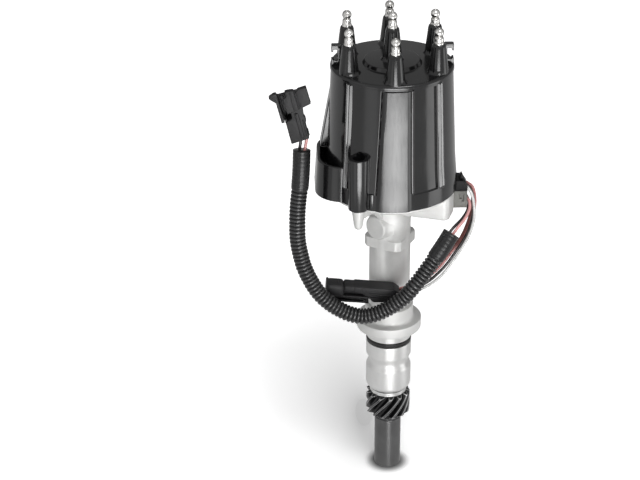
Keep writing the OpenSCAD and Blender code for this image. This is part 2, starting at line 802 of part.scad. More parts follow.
module coil_plug() {
    color([0.45, 0.45, 0.43])
    difference() {
        plug_block(coil_plug_low_z, plug_split_z, coil_plug_back_y);
        translate([49.6, plug_front_y - 1, plug_split_z - 6.2]) cube([3.4, 2.6, 4.2]);
        translate([51.4, plug_front_y - 1, plug_split_z - 8.4]) cube([1.6, 2.6, 3]);
        translate([plug_end_x - 2, plug_front_y + 3, coil_plug_low_z - 1]) cube([4, 7, 3]);
    }
}

module timing_plug() {
    low = plug_split_z + 2 * plug_gap;
    color([0.07, 0.07, 0.075]) {
        difference() {
            plug_block(low, timing_plug_top_z, timing_plug_back_y);
            translate([0, timing_plug_back_y + 1, 0])
                rotate([90, 0, 0])
                    linear_extrude(timing_plug_back_y - plug_front_y + 2)
                        polygon([[plug_end_x + 1, low + 3], [plug_end_x, low + 3],
                            [52, timing_plug_top_z], [52, timing_plug_top_z + 1],
                            [plug_end_x + 1, timing_plug_top_z + 1]]);
        }
        translate([0, 3, timing_plug_top_z])
            rotate([90, 0, 0])
                linear_extrude(6)
                    polygon([[49.2, -1], [54.6, -4.6], [54.2, -2.4], [51.6, 3.4], [50.8, 3.7],
                        [50.2, 0.6], [49.2, eps]]);
    }
}

// The pocket in the head plate that the ignition module lies in
module pocket_form(inset, low_z, top_z) {
    a = pocket_front[0];
    b = pocket_front[1];
    intersection() {
        translate([0, 0, low_z]) cylinder(d = pocket_d - 2 * inset, h = top_z - low_z);
        translate([0, 0, low_z])
            linear_extrude(top_z - low_z)
                polygon([[a[0], a[1] + inset], [b[0], b[1] + inset], [b[0] + 3.4, b[1] + 2.4 + inset],
                    [b[0] + 5.4, b[1] + 6 + inset], [60, 0], [60, pocket_back_y - inset],
                    [a[0], pocket_back_y - inset]]);
    }
}

// The wrench collar is a square whose corners alone stand out of the tube
module wrench_collar() {
    translate([0, 0, collar_up])
        intersection() {
            rotate([0, 0, front_angle + 15 - 45])
                translate([-collar_flats / 2, -collar_flats / 2, 0])
                    cube([collar_flats, collar_flats, collar_t]);
            rotate([0, 0, front_angle + 15])
                translate([-collar_d / 2, -collar_d / 2, 0]) cube([collar_d, collar_d, collar_t]);
        }
}

module web(angle, reach, drop) {
    rotate([0, 0, angle])
        translate([0, web_t / 2, 0]) rotate([90, 0, 0])
            linear_extrude(web_t)
                polygon([[shaft_r + 4, seat_up - plate_t], [shaft_r + 4, seat_up - drop - 14],
                    [tube_d / 2 + 1, seat_up - drop - 8], [tube_d / 2 + 9, seat_up - drop + 2],
                    [reach, seat_up - 10], [reach, seat_up - plate_t]]);
}

module housing_outside() {
    radius = pilot_d / 2;
    groove_mid = oil_groove_down + oil_groove_w / 2;
    rotate_extrude($fn = 128)
        polygon([[0, nose_z], [nose_d / 2, nose_z], [nose_d / 2, -pilot_len],
            [radius - edge_cut, -pilot_len], [radius - edge_cut * 0.3, -pilot_len + edge_cut * 0.45],
            [radius, -pilot_len + edge_cut * 1.3], [radius, -oil_groove_down - oil_groove_w],
            [radius - 0.6, -oil_groove_down - oil_groove_w + 1.6],
            [oil_groove_d / 2, -groove_mid], [radius, -oil_groove_down],
            [radius, 0], [flange_d / 2 - 0.5, 0], [flange_d / 2, 0.5],
            [flange_d / 2, flange_t - 0.6], [flange_d / 2 - 0.6, flange_t],
            [shoulder_d / 2 + 1.4, flange_t], [shoulder_d / 2, flange_t + 1.4],
            [shoulder_d / 2, flange_t + shoulder_h - 0.6],
            [shoulder_d / 2 - 0.6, flange_t + shoulder_h],
            [tube_d / 2 + 0.8, flange_t + shoulder_h + 1], [tube_d / 2, flange_t + shoulder_h + 3],
            [tube_d / 2, seat_up - 12], [tube_d / 2 + 4, seat_up - plate_t - plate_rib_down],
            [plate_rib_d / 2, seat_up - plate_t - plate_rib_down],
            [plate_d / 2 - 0.6, seat_up - plate_t], [plate_d / 2, seat_up - plate_t + 0.6],
            [plate_d / 2, seat_up], [0, seat_up]]);
    wrench_collar();
    pocket_form(0, pocket_z, seat_up - plate_t + 0.5);
    for (a = [screw_angles[0], 148, screw_angles[1]]) web(a, screw_boss_r - 5, 14);
    rotate([0, 0, front_angle - 45])
        translate([0, 0, collar_up + collar_t + pad_up - 1])
            rotate([0, 90, 0]) cylinder(d = pad_d, h = pad_reach);
    for (a = screw_angles)
        rotate([0, 0, a])
            translate([screw_boss_r, 0, 0]) {
                translate([0, 0, seat_up - boss_down])
                    cylinder(d1 = boss_tip_d, d2 = boss_top_d, h = boss_down);
                translate([0, 0, seat_up - boss_down]) sphere(d = boss_tip_d, $fn = 48);
            }
    // The spigot that centres the cap, open at the pocket's window and round the screw bosses
    difference() {
        translate([0, 0, seat_up - 0.5])
            round_ring(cap_skirt_d - 2 * cap_wall - 2 * spigot_gap,
                cap_skirt_d - 2 * cap_wall - 2 * spigot_gap - 2 * spigot_wall, spigot_h + 0.5);
        screw_boss(screw_boss_d + 1, seat_up, spigot_h + 1);
    }
    for (a = pickup_ear_angles)
        rotate([0, 0, a])
            translate([pickup_ear_r, 0, seat_up - 0.5])
                cylinder(d = pickup_post_d, h = pole_z - seat_up + 0.5);
}

module housing() {
    color([0.78, 0.78, 0.77])
    difference() {
        housing_outside();
        // the bore for the shaft, its two bushings and the oil seal
        translate([0, 0, nose_z - 1]) cylinder(r = shaft_r + 0.4, h = seat_up - nose_z + 2);
        translate([0, 0, -pilot_len + 1])
            cylinder(d = bush_d + 2 * press_gap, h = seat_up + pilot_len - 1 - seal_h + 1);
        translate([0, 0, -pilot_len + 1 + lower_bush_len])
            cylinder(d = bore_core_d, h = seat_up + pilot_len - 2 - lower_bush_len - upper_bush_len - seal_h);
        translate([0, 0, seat_up - seal_h]) cylinder(d = shaft_seal_d + 2 * press_gap, h = seal_h + 1);
        // the groove for the seal ring
        translate([0, 0, -seal_groove_down - seal_groove_w])
            round_ring(pilot_d + 2, pilot_d - 2 * seal_ring_t + 0.2, seal_groove_w);
        // the module pocket, open at the top, and the window for its plugs
        intersection() {
            pocket_form(pocket_wall, pocket_floor_z, seat_up + spigot_h + 1);
            translate([pocket_in_x, -50, 0]) cube([50, 100, seat_up + spigot_h + 2]);
        }
        translate([39, plug_front_y - window_gap, coil_plug_low_z - window_gap])
            cube([20, timing_plug_back_y - plug_front_y + 2 * window_gap, 40]);
        for (a = screw_angles)
            rotate([0, 0, a])
                translate([screw_boss_r, 0, seat_up - screw_hole_down])
                    cylinder(d = screw_d + 2 * press_gap, h = screw_hole_down + 5);
        for (a = pickup_ear_angles)
            rotate([0, 0, a])
                translate([pickup_ear_r, 0, pole_z - pickup_thread_len - 1])
                    cylinder(d = pickup_screw_d + 2 * press_gap, h = pickup_thread_len + 3);
    }
}

module upper_bushing() {
    color([0.72, 0.55, 0.32])
    translate([0, 0, seat_up - seal_h - upper_bush_len])
        round_ring(bush_d, shaft_d + 2 * run_gap, upper_bush_len);
}

module lower_bushing() {
    color([0.72, 0.55, 0.32])
    translate([0, 0, -pilot_len + 1]) round_ring(bush_d, shaft_d + 2 * run_gap, lower_bush_len);
}

module shaft_seal() {
    color([0.12, 0.12, 0.12])
    translate([0, 0, seat_up - seal_h]) round_ring(shaft_seal_d, shaft_d + 2 * slide_gap, seal_h - 0.2);
}

module main_shaft() {
    color([0.7, 0.7, 0.72])
    difference() {
        union() {
            translate([0, 0, shaft_low_z]) cylinder(d = shaft_d, h = shaft_step_z - shaft_low_z);
            difference() {
                translate([0, 0, shaft_step_z - 1])
                    cylinder(d = spigot_d, h = shaft_top_z - shaft_step_z + 1);
                rotate([0, 0, front_angle])
                    translate([-10, spigot_d / 2 - spigot_flat, rotor_low_z - 2])
                        cube([20, 10, rotor_bore_h + 4]);
            }
        }
        cross_hole(gear_pin_d, gear_pin_z);
        cross_hole(sleeve_pin_d, sleeve_pin_z);
    }
}

module cross_hole(d, z) {
    translate([-20, 0, z]) rotate([0, 90, 0]) cylinder(d = d + 2 * press_gap, h = 40, $fn = 48);
}

module thrust_washer() {
    color([0.85, 0.85, 0.84])
    translate([0, 0, washer_z]) round_ring(washer_d, shaft_d + 0.5, washer_t);
}

module shim_washer() {
    color([0.85, 0.85, 0.84])
    translate([0, 0, shim_z]) round_ring(washer_d, shaft_d + 2 * press_gap, washer_t);
}

// Half the angle that a tooth fills at a radius, for an involute flank
function roll(r) = sqrt(max(0, (r / gear_base_r) * (r / gear_base_r) - 1)) * 180 / PI;
function flank_angle(r) = roll(r) - atan(sqrt(max(0, (r / gear_base_r) * (r / gear_base_r) - 1)));
function tooth_half(r) =
    90 / gear_teeth * 0.96 + flank_angle(gear_pitch_r) - flank_angle(max(r, gear_base_r));
function polar(r, a) = [r * cos(a), r * sin(a)];
function flank_r(i) =
    gear_root_r + root_fillet + (gear_d / 2 - gear_root_r - root_fillet) * i / flank_steps;
function tooth(a) = concat(
    [polar(gear_root_r, a - tooth_half(gear_root_r) - root_spread)],
    [for (i = [0:flank_steps]) polar(flank_r(i), a - tooth_half(flank_r(i)))],
    [for (i = [flank_steps:-1:0]) polar(flank_r(i), a + tooth_half(flank_r(i)))],
    [polar(gear_root_r, a + tooth_half(gear_root_r) + root_spread)]);

module drive_gear() {
    color([0.16, 0.16, 0.17])
    difference() {
        union() {
            intersection() {
                translate([0, 0, gear_low_z])
                    linear_extrude(gear_w, twist = -gear_twist, slices = gear_slices)
                        polygon([for (i = [0:gear_teeth - 1]) each tooth(360 * i / gear_teeth)]);
                // the blank is turned with a bevel at both ends before its teeth are cut
                rotate_extrude()
                    polygon([[0, gear_low_z - 1], [gear_root_r + 0.4, gear_low_z - 1],
                        [gear_root_r + 0.4, gear_low_z], [gear_d / 2 + 0.2, gear_low_z + gear_bevel],
                        [gear_d / 2 + 0.2, gear_top_z - gear_bevel], [gear_root_r + 0.4, gear_top_z],
                        [gear_root_r + 0.4, gear_top_z + 1], [0, gear_top_z + 1]]);
            }
            translate([0, 0, gear_hub_z]) cylinder(d = gear_hub_d, h = gear_hub_len + 1);
        }
        translate([0, 0, gear_hub_z - 1]) cylinder(r = shaft_r + press_gap, h = gear_w + gear_hub_len + 2);
        cross_hole(gear_pin_d, gear_pin_z);
    }
}

module gear_pin() {
    color([0.5, 0.5, 0.5])
    translate([-gear_hub_d / 2 + 0.3, 0, gear_pin_z])
        rotate([0, 90, 0]) cylinder(d = gear_pin_d, h = gear_hub_d - 0.6, $fn = 48);
}

module drive_sleeve() {
    socket_d = socket_flats / cos(30);
    color([0.32, 0.32, 0.32])
    difference() {
        translate([0, 0, sleeve_low_z])
            rotate_extrude()
                polygon([[0, 0], [sleeve_d / 2 - 0.8, 0], [sleeve_d / 2, 0.8],
                    [sleeve_d / 2, sleeve_len - 0.8], [sleeve_d / 2 - 0.8, sleeve_len], [0, sleeve_len]]);
        translate([0, 0, shaft_low_z - eps]) cylinder(r = shaft_r + press_gap, h = sleeve_len);
        translate([0, 0, sleeve_low_z - 1]) cylinder(d = socket_d, h = socket_depth + 1, $fn = 6);
        cross_hole(sleeve_pin_d, sleeve_pin_z);
    }
}

module sleeve_pin() {
    color([0.5, 0.5, 0.5])
    translate([-sleeve_d / 2 + 0.3, 0, sleeve_pin_z])
        rotate([0, 90, 0]) cylinder(d = sleeve_pin_d, h = sleeve_d - 0.6, $fn = 48);
}

module seal_ring() {
    color([0.05, 0.05, 0.05])
    translate([0, 0, -seal_groove_down - seal_groove_w / 2])
        rotate_extrude($fn = 96)
            translate([pilot_d / 2 + 0.15 - seal_ring_t / 2, 0]) circle(d = seal_ring_t, $fn = 32);
}

module harness_loom() { color([0.16, 0.16, 0.16]) tube(loom_route, loom_d, 12); }
module coil_wire_pink() { color([0.85, 0.52, 0.5]) tube(coil_pink_route, wire_d, 8); }
module coil_wire_black() { color([0.12, 0.08, 0.08]) tube(coil_black_route, wire_d, 8); }
module coil_tail_pink() { color([0.9, 0.8, 0.78]) tube(coil_tail_pink_route, wire_d, 8); }
module coil_tail_black() { color([0.1, 0.1, 0.1]) tube(coil_tail_black_route, wire_d, 8); }
module timing_wire_white() { color([0.9, 0.9, 0.9]) tube(timing_white_route, wire_d, 8); }
module timing_wire_black() { color([0.08, 0.08, 0.08]) tube(timing_black_route, wire_d, 8); }
module timing_wire_brown() { color([0.35, 0.15, 0.12]) tube(timing_brown_route, wire_d, 8); }
module timing_wire_pink() { color([0.85, 0.6, 0.6]) tube(timing_pink_route, wire_d, 8); }

// Places a connector's profile, drawn across and along it, and gives it its depth
module coil_end_slab(points, half, shift) {
    translate(coil_end_at)
        rotate([0, coil_end_lean, 0])
            translate([0, half + shift, 0])
                rotate([90, 0, 0]) linear_extrude(2 * half) polygon(points);
}

module coil_connector() {
    color([0.25, 0.25, 0.26])
    difference() {
        union() {
            coil_end_slab([[-6.5, 3], [6.5, 3], [6.9, 15.5], [7.7, 16], [7.7, 19.5], [7, 20.2], [7.6, 25],
                [7.6, 36], [-3.4, 36], [-3.4, 20], [-6.5, 18.6]], coil_end_half, 0);
            coil_end_slab([[8, 28.4], [13.2, 30], [13.2, 40.7], [7.8, 40.7], [7.3, 39.5], [6.2, 39.5],
                [5.6, 41.2], [-0.8, 41.2], [-0.8, 37.6], [-3.4, 36.6], [-3.4, 28.4]],
                coil_end_half + 1.2, 0);
            coil_end_slab([[-6.2, 20.6], [-3, 20.6], [-3, 37], [-6.2, 37]], 1.6, coil_end_half - 1.6);
        }
        coil_end_slab([[-1.6, 20.5], [0.8, 20.5], [1.6, 24.7], [-0.8, 24.7]], 1.5, -coil_end_half - 0.6);
        coil_end_slab([[6.2, 27], [7.2, 27], [7.2, 46], [6.2, 46]], 1.2, -coil_end_half - 1.2);
        for (x = coil_end_cavities) {
            coil_end_slab([[x - 0.55, 10], [x + 0.55, 10], [x + 0.55, 46], [x - 0.55, 46]], 1.55, 0);
            translate(coil_end_at) rotate([0, coil_end_lean, 0]) translate([x, 0, 2])
                cylinder(d = 4, h = 9, $fn = 32);
        }
    }
}

module coil_connector_latch() {
    color([0.27, 0.27, 0.28])
    coil_end_slab([[-9.1, 19], [-9.3, 34.4], [-12.9, 38.2], [-12.5, 39.8], [-8.4, 41], [-6.5, 40.4],
        [-6.5, 21], [-6.9, 19]], 3.6, -1.4);
}

module coil_connector_seals() {
    color([0.3, 0.32, 0.3])
    for (x = coil_end_cavities)
        translate(coil_end_at) rotate([0, coil_end_lean, 0]) translate([x, 0, 3.3])
            cylinder(d = 4 - 2 * slide_gap, h = 5, $fn = 32);
}

module coil_connector_sockets() {
    color([0.75, 0.74, 0.7])
    for (x = coil_end_cavities)
        coil_end_slab([[x - 0.5, 10.4], [x + 0.5, 10.4], [x + 0.5, 34], [x - 0.5, 34]], 1.5, 0);
}

module timing_end_slab(points, half, shift) {
    translate(timing_end_at)
        rotate([0, timing_end_lean, 0])
            translate([0, half + shift, 0])
                rotate([90, 0, 0]) linear_extrude(2 * half) polygon(points);
}

module timing_connector() {
    color([0.2, 0.2, 0.21])
    difference() {
        union() {
            timing_end_slab([[0, -2.1], [30, -2.6], [30, 5], [9.4, 5.6], [8.8, 6.6], [6.8, 5.7], [0, 5.9]],
                timing_end_half, 0);
            timing_end_slab([[27, 5.1], [27, -2.5], [34, -6.2], [46.6, -6], [49, -2.6], [54.2, -2.2],
                [54.2, 1.2], [49.5, 4.4]], timing_end_half, 0);
            timing_end_slab([[30, 0.4], [47, -0.6], [47, 2.4], [30, 3.4]], 0.4, -timing_end_half - 0.4);
        }
        timing_end_slab([[-1, -0.8], [20, -0.8], [20, 4.6], [-1, 4.6]], timing_end_half - 1.6, 0);
        timing_end_slab([[19, 0.4], [38, 0.4], [38, 3.2], [19, 3.2]], 5, 0);
        timing_end_slab([[14, -1.8], [33, -3.6], [33, -2.4], [14, -1.1]], 0.5, -timing_end_half);
    }
}

module timing_connector_latch() {
    color([0.34, 0.34, 0.35])
    timing_end_slab([[6, -3], [9, -2.6], [26, -2.9], [31, -4.95], [33.4, -7.2], [14, -7], [7, -5.4]],
        4.4, 0);
}

module timing_connector_pins() {
    color([0.78, 0.76, 0.7])
    for (y = timing_pins)
        timing_end_slab([[12.5, 1.4], [37.6, 1.4], [37.6, 2.2], [12.5, 2.2]], 0.4, y);
}

distributor_cap();
plug_terminals();
coil_terminal();
carbon_button();
button_spring();
cap_screws();
rotor();
rotor_blade();
rotor_contact();
timer_core();
pole_piece();
pickup_magnet();
pickup_bobbin();
pickup_winding();
pickup_screws();
ignition_module();
module_plate();
coil_plug();
timing_plug();
housing();
upper_bushing();
lower_bushing();
shaft_seal();
main_shaft();
thrust_washer();
shim_washer();
drive_gear();
gear_pin();
drive_sleeve();
sleeve_pin();
seal_ring();
harness_loom();
coil_wire_pink();
coil_wire_black();
coil_tail_pink();
coil_tail_black();
timing_wire_white();
timing_wire_black();
timing_wire_brown();
timing_wire_pink();
coil_connector();
coil_connector_latch();
coil_connector_seals();
coil_connector_sockets();
timing_connector();
timing_connector_latch();
timing_connector_pins();
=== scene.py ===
# Six-cylinder engine distributor with its wiring loom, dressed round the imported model.
# Sizes are in metres, and lists that are multiplied by mm in millimetres, in the model's own frame:
# Z up the shaft, the front plug tower at -Y.
import math

import bmesh
import bpy
import numpy as np
from mathutils import Euler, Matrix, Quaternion, Vector


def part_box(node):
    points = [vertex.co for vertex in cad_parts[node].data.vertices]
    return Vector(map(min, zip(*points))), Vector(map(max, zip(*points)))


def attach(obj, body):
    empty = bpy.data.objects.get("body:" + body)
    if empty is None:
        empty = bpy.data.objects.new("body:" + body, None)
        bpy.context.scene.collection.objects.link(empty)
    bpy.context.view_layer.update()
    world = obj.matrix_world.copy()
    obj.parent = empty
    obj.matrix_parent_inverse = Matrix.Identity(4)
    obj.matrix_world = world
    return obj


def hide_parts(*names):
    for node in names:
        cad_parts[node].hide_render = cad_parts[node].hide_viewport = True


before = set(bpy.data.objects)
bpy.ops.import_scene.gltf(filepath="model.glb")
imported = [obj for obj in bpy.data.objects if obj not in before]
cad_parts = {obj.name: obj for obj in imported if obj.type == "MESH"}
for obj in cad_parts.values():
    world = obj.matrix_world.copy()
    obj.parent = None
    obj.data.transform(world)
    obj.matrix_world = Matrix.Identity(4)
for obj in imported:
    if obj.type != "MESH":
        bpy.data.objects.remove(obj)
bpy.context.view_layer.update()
scene = bpy.context.scene


# The studio: a white table that the tail stands on, pale air all round, and soft lamps.
# The table and the air look white to the camera, and the table keeps the object's shadow, with a painted
# shadow added behind the tail and round its foot. The air's light falls off towards the back.
sleeve_low, sleeve_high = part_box("drive_sleeve")
table_gap, table_half = 0.0001, 6.0
table_z = sleeve_low.z - table_gap
white = (1, 1, 1, 1)


def put_node(tree, kind, inputs=(), out=0, **settings):
    """Adds a node with its settings. Each input is set to a value, or linked to the socket given for it.
    Gives back one of the node's outputs."""
    made = tree.nodes.new("ShaderNode" + kind)
    for setting, value in settings.items():
        setattr(made, setting, value)
    for socket, value in dict(inputs).items():
        if isinstance(value, bpy.types.NodeSocket):
            tree.links.new(value, made.inputs[socket])
        else:
            made.inputs[socket].default_value = value
    return made.outputs[out] if made.outputs else None


def remap(tree, value, low, high, start=0, end=1, **settings):
    """Goes from low to high while the value goes from start to end."""
    return put_node(tree, "MapRange", {"Value": value, "From Min": start, "From Max": end,
        "To Min": low, "To Max": high}, **settings)


def from_axis(tree, place):
    """Distance of a place from the upright axis: the length of (x, y, 0)."""
    flat = put_node(tree, "VectorMath", {0: place, 1: (1, 1, 0)}, operation="MULTIPLY")
    return put_node(tree, "VectorMath", {0: flat}, "Value", operation="LENGTH")


def new_material(name):
    """A material with an empty node tree, but for the place on the object that its patterns follow."""
    material = bpy.data.materials.new(name)
    material.use_nodes = True
    material.node_tree.nodes.clear()
    return material, material.node_tree, put_node(material.node_tree, "TexCoord", out="Object")


def table_paint():
    """Matt white, a little lit in mirrors. The camera sees it lighter than it is, so that lit ground clips to
    white and only the shadow is left. Along a path that runs back and to the left from the tail it is made
    less light, which paints a shadow there; the root makes that painted shadow fade fast near the tail and
    slowly behind. A painted shadow ring makes it darkest right round the tail's foot."""
    material, tree, place = new_material("table_paint")
    glossy_ray = put_node(tree, "LightPath", out="Is Glossy Ray")
    lift = put_node(tree, "Math", {0: glossy_ray, 1: 0.2}, operation="MULTIPLY")
    glow = put_node(tree, "Emission", {"Strength": lift})
    matt = put_node(tree, "BsdfDiffuse", {"Color": (0.62, 0.62, 0.62, 1)})
    both = put_node(tree, "AddShader", {0: matt, 1: glow})
    # Painted shadow: the table is made less light along a path back and to the left of the tail.
    behind = put_node(tree, "VectorMath", {0: place, 1: (3, 1, 0), 2: (0.045, -0.07, 0)},
        operation="MULTIPLY_ADD")
    from_painted_shadow_path = put_node(tree, "VectorMath", {0: behind}, "Value", operation="LENGTH")
    painted_shadow_root = put_node(tree, "Math", {0: remap(tree, from_painted_shadow_path, 0, 1, 0.02, 0.4), 1: 0.5}, operation="POWER")
    brighten_with_painted_shadow = put_node(tree, "Math", {0: painted_shadow_root, 1: 1.05, 2: 0.95}, operation="MULTIPLY_ADD")
    # Painted shadow: a dark ring right round the tail's foot.
    painted_contact_shadow = remap(tree, from_axis(tree, place), 0.15, 1, 0.0095, 0.0195, interpolation_type="SMOOTHSTEP")
    under = put_node(tree, "Math", {0: brighten_with_painted_shadow, 1: painted_contact_shadow}, operation="MULTIPLY")
    shown = put_node(tree, "BsdfDiffuse", {"Color": under})
    camera_ray = put_node(tree, "LightPath", out="Is Camera Ray")
    pick = put_node(tree, "MixShader", {0: camera_ray, 1: both, 2: shown})
    put_node(tree, "OutputMaterial", {"Surface": pick})
    return material


table_mesh = bpy.data.meshes.new("table")
table_corners = [(x * table_half, y * table_half, table_z) for x, y in ((-1, -1), (1, -1), (1, 1), (-1, 1))]
table_mesh.from_pydata(table_corners, [], [(0, 1, 2, 3)])
table = bpy.data.objects.new("table", table_mesh)
scene.collection.objects.link(table)
table_mesh.materials.append(table_paint())

air = bpy.data.worlds.new("air")
air.use_nodes = True
scene.world = air
air_tree = air.node_tree
air_tree.nodes.clear()
air_place = put_node(air_tree, "TexCoord", out="Generated")
air_back = put_node(air_tree, "SeparateXYZ", {0: air_place}, "Y")
air_fall = remap(air_tree, air_back, 0.62, 0.3, -0.2, 0.6)
air_light = put_node(air_tree, "Background", {"Color": white, "Strength": air_fall})
air_seen = put_node(air_tree, "Background", {"Color": white, "Strength": 1.0})
air_ray = put_node(air_tree, "LightPath", out="Is Camera Ray")
air_mix = put_node(air_tree, "MixShader", {0: air_ray, 1: air_light, 2: air_seen})
put_node(air_tree, "OutputWorld", {"Surface": air_mix})


def soft_lamp(name, at, towards, width, height, watts, spread=180):
    """A rectangular lamp that the camera doesn't see, turned to face a point. A spread below 180 degrees
    is a honeycomb in front of it, which keeps its light off what it doesn't face."""
    light = bpy.data.lights.new(name, "AREA")
    light.shape = "RECTANGLE"
    light.size, light.size_y = width, height
    light.energy = watts
    light.spread = math.radians(spread)
    lamp = bpy.data.objects.new(name, light)
    scene.collection.objects.link(lamp)
    lamp.location = at
    lamp.rotation_mode = "QUATERNION"
    lamp.rotation_quaternion = (Vector(towards) - Vector(at)).to_track_quat("-Z", "Y")
    lamp.visible_camera = False


lit_middle = (0, 0, 0.12)
cap_middle = (0, 0, 0.165)
soft_lamp("key_lamp", (0.36, -0.84, 1.5), lit_middle, 0.7, 0.7, 9)
soft_lamp("fill_lamp", (-1.2, -0.6, 0.9), lit_middle, 0.8, 0.8, 0.4)
soft_lamp("front_card", (0.035, -0.42, 0.004), cap_middle, 0.32, 0.13, 0.23, 80)
soft_lamp("tower_card", (0.01, -0.42, 0.125), (0, 0, 0.222), 0.24, 0.07, 0.08, 80)
soft_lamp("right_card", (0.50, -0.12, 0.03), cap_middle, 0.25, 0.34, 0.085, 80)
soft_lamp("left_card", (-0.33, -0.40, 0.0), cap_middle, 0.22, 0.30, 0.02, 80)
soft_lamp("low_card", (0.035, -0.42, -0.07), (0, 0, -0.08), 0.2, 0.08, 0.03, 80)
soft_lamp("tail_card", (0.026, -0.2, -0.086), (0, 0, -0.105), 0.08, 0.06, 0.0065, 30)

# The camera looks down on the object from the front, a little to its left.
camera_heading, camera_down, camera_roll = (math.radians(a) for a in (1.379, 27.604, -0.308))
picture_width = 640
focal_pixels = 2010.4
camera_data = bpy.data.cameras.new("camera")
camera_data.sensor_width = 36
camera_data.lens = camera_data.sensor_width * focal_pixels / picture_width
camera = bpy.data.objects.new("camera", camera_data)
scene.collection.objects.link(camera)
camera.location = (-0.08283, -1.3073, 0.75559)
level_view = Euler((math.pi / 2 - camera_down, 0, -camera_heading)).to_quaternion()
camera.rotation_mode = "QUATERNION"
camera.rotation_quaternion = level_view @ Quaternion((0, 0, 1), camera_roll)
scene.camera = camera
scene.view_settings.view_transform = "Standard"


# The corrugated sleeve: split black plastic conduit that guards the two coil wires. It leaves the
# wires' feed at the right, hangs in a U before the housing and rises to the coil connector.
# Tape is wound smoothly round both of its ends.
mm = 0.001
sleeve_route = [(43, -22, 87), (37, -25, 78), (30.8, -27.5, 69.3), (25.6, -30, 62.6), (20.6, -32, 56),
    (15.5, -34, 50), (10, -35, 43.4), (3.2, -36, 37.9), (-4.5, -36.5, 33), (-13, -37, 29.4),
    (-22, -37, 28), (-31.2, -37, 30.3), (-39, -36.5, 34.3), (-46.7, -36, 40), (-53.3, -35, 47),
    (-58.4, -34, 55.2), (-63, -33, 65.3), (-65.5, -32, 74), (-68, -31, 88), (-68.2, -30, 104),
    (-67.6, -29, 115.5), (-66, -28, 130), (-65, -27, 143.5), (-64.5, -25, 156.5)]
sleeve_d, sleeve_sides = 0.0114, 40
fold_pitch, fold_depth, fold_proud, folds_points = 0.0029, 0.0013, 0.0002, 8
taped_start, taped_end = 0.021, 0.028
tape_proud, tape_dent, tape_edge, tape_painted_shade_level = 0.0006, 0.0001, 0.0015, 0.4


def smooth_path(route, spacing):
    """Evenly spaced points of the Catmull-Rom curve through the route: on each stretch the point is
    the cubic whose end slopes are half the chord between the neighbours on either side."""
    p = np.array(route, float) * mm
    p = np.vstack([2 * p[0] - p[1], p, 2 * p[-1] - p[-2]])
    t = np.linspace(0, 1, 24, endpoint=False)[None, :, None]
    a, b, c, d = (p[k:len(p) - 3 + k, None] for k in range(4))
    fine = 0.5 * (2 * b + (c - a) * t + (2 * a - 5 * b + 4 * c - d) * t**2 + (3 * b - a - 3 * c + d) * t**3)
    fine = np.vstack([fine.reshape(-1, 3), p[-2]])
    run = np.concatenate([[0], np.cumsum(np.linalg.norm(np.diff(fine, axis=0), axis=1))])
    even = np.linspace(0, run[-1], max(8, int(round(run[-1] / spacing))) + 1)
    return np.stack([np.interp(even, run, fine[:, k]) for k in range(3)], axis=1), even


def unit(v):
    """Vectors over their lengths."""
    return v / np.linalg.norm(v, axis=-1, keepdims=True)


def side_directions(path):
    """Two directions square to the path at each point. The first is also square to a fixed direction
    that no path here runs along, so a tube doesn't twist."""
    ahead = unit(np.gradient(path, axis=0))
    fixed = np.array([0.25, 1.0, 0.1])
    u = unit(np.cross(ahead, fixed))
    return u, np.cross(ahead, u)


def put_mesh(name, points, faces):
    """A smooth-shaded object at the origin, from an array of points and a list of faces."""
    mesh = bpy.data.meshes.new(name)
    mesh.from_pydata(points.reshape(-1, 3).tolist(), [], faces)
    mesh.shade_smooth()
    made = bpy.data.objects.new(name, mesh)
    scene.collection.objects.link(made)
    return made


def put_grid(name, points, capped=False):
    """A grid of points whose columns run round: quads between neighbouring rows and columns, the last
    column joined to the first, and one face over the first and the last row where it is capped."""
    rows, columns = points.shape[:2]
    r = np.arange(rows - 1)[:, None] * columns
    c = np.arange(columns)[None, :]
    n = (c + 1) % columns
    faces = np.stack([r + c, r + n, r + columns + n, r + columns + c], axis=-1).reshape(-1, 4).tolist()
    if capped:
        faces.append(list(range(columns))[::-1])
        faces.append(list(range((rows - 1) * columns, rows * columns)))
    return put_mesh(name, points, faces)


def full_turn(sides):
    """Angles evenly round a circle, in one row."""
    return np.linspace(0, 2 * np.pi, sides, endpoint=False)[None, :]


def tube(name, path, radius, sides):
    """Rings of points at a radius round each point of a path. Its map runs round it and along it."""
    u, v = side_directions(path)
    angle = full_turn(sides)[..., None]
    rings = path[:, None] + radius[:, None, None] * (np.cos(angle) * u[:, None] + np.sin(angle) * v[:, None])
    made = put_grid(name, rings, capped=True)
    layer = made.data.uv_layers.new(name="along")
    corner = np.zeros(len(made.data.loops), int)
    made.data.loops.foreach_get("vertex_index", corner)
    places = np.stack([(corner % sides) / sides, (corner // sides) / len(path)], axis=1)
    layer.data.foreach_set("uv", places.ravel().astype(np.float32))
    return made


def finished(made, material, body, slot, *replaced):
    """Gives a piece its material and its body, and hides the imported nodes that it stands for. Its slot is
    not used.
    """
    made.data.materials.append(material)
    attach(made, body)
    if replaced:
        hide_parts(*replaced)
    return made


def noise(tree, place, scale, detail):
    """Soft noise read at a place."""
    return put_node(tree, "TexNoise", {"Vector": place, "Scale": scale, "Detail": detail})


def shades(tree, value, low, high, start=0, end=1):
    """A colour that goes from low to high while the value goes from start to end. One number is a grey."""
    colour = put_node(tree, "ValToRGB", {"Fac": value})
    for element, position, shade in zip(colour.node.color_ramp.elements, (start, end), (low, high)):
        element.position = position
        element.color = (*np.broadcast_to(shade, 3), 1)
    return colour


def relief(tree, height, strength, depth):
    """A normal that follows a fine relief."""
    return put_node(tree, "Bump", {"Height": height, "Strength": strength, "Distance": depth})


def principled(material, inputs):
    """Ends a material in a Principled shader with these inputs."""
    shader = put_node(material.node_tree, "BsdfPrincipled", inputs)
    put_node(material.node_tree, "OutputMaterial", {"Surface": shader})
    return material


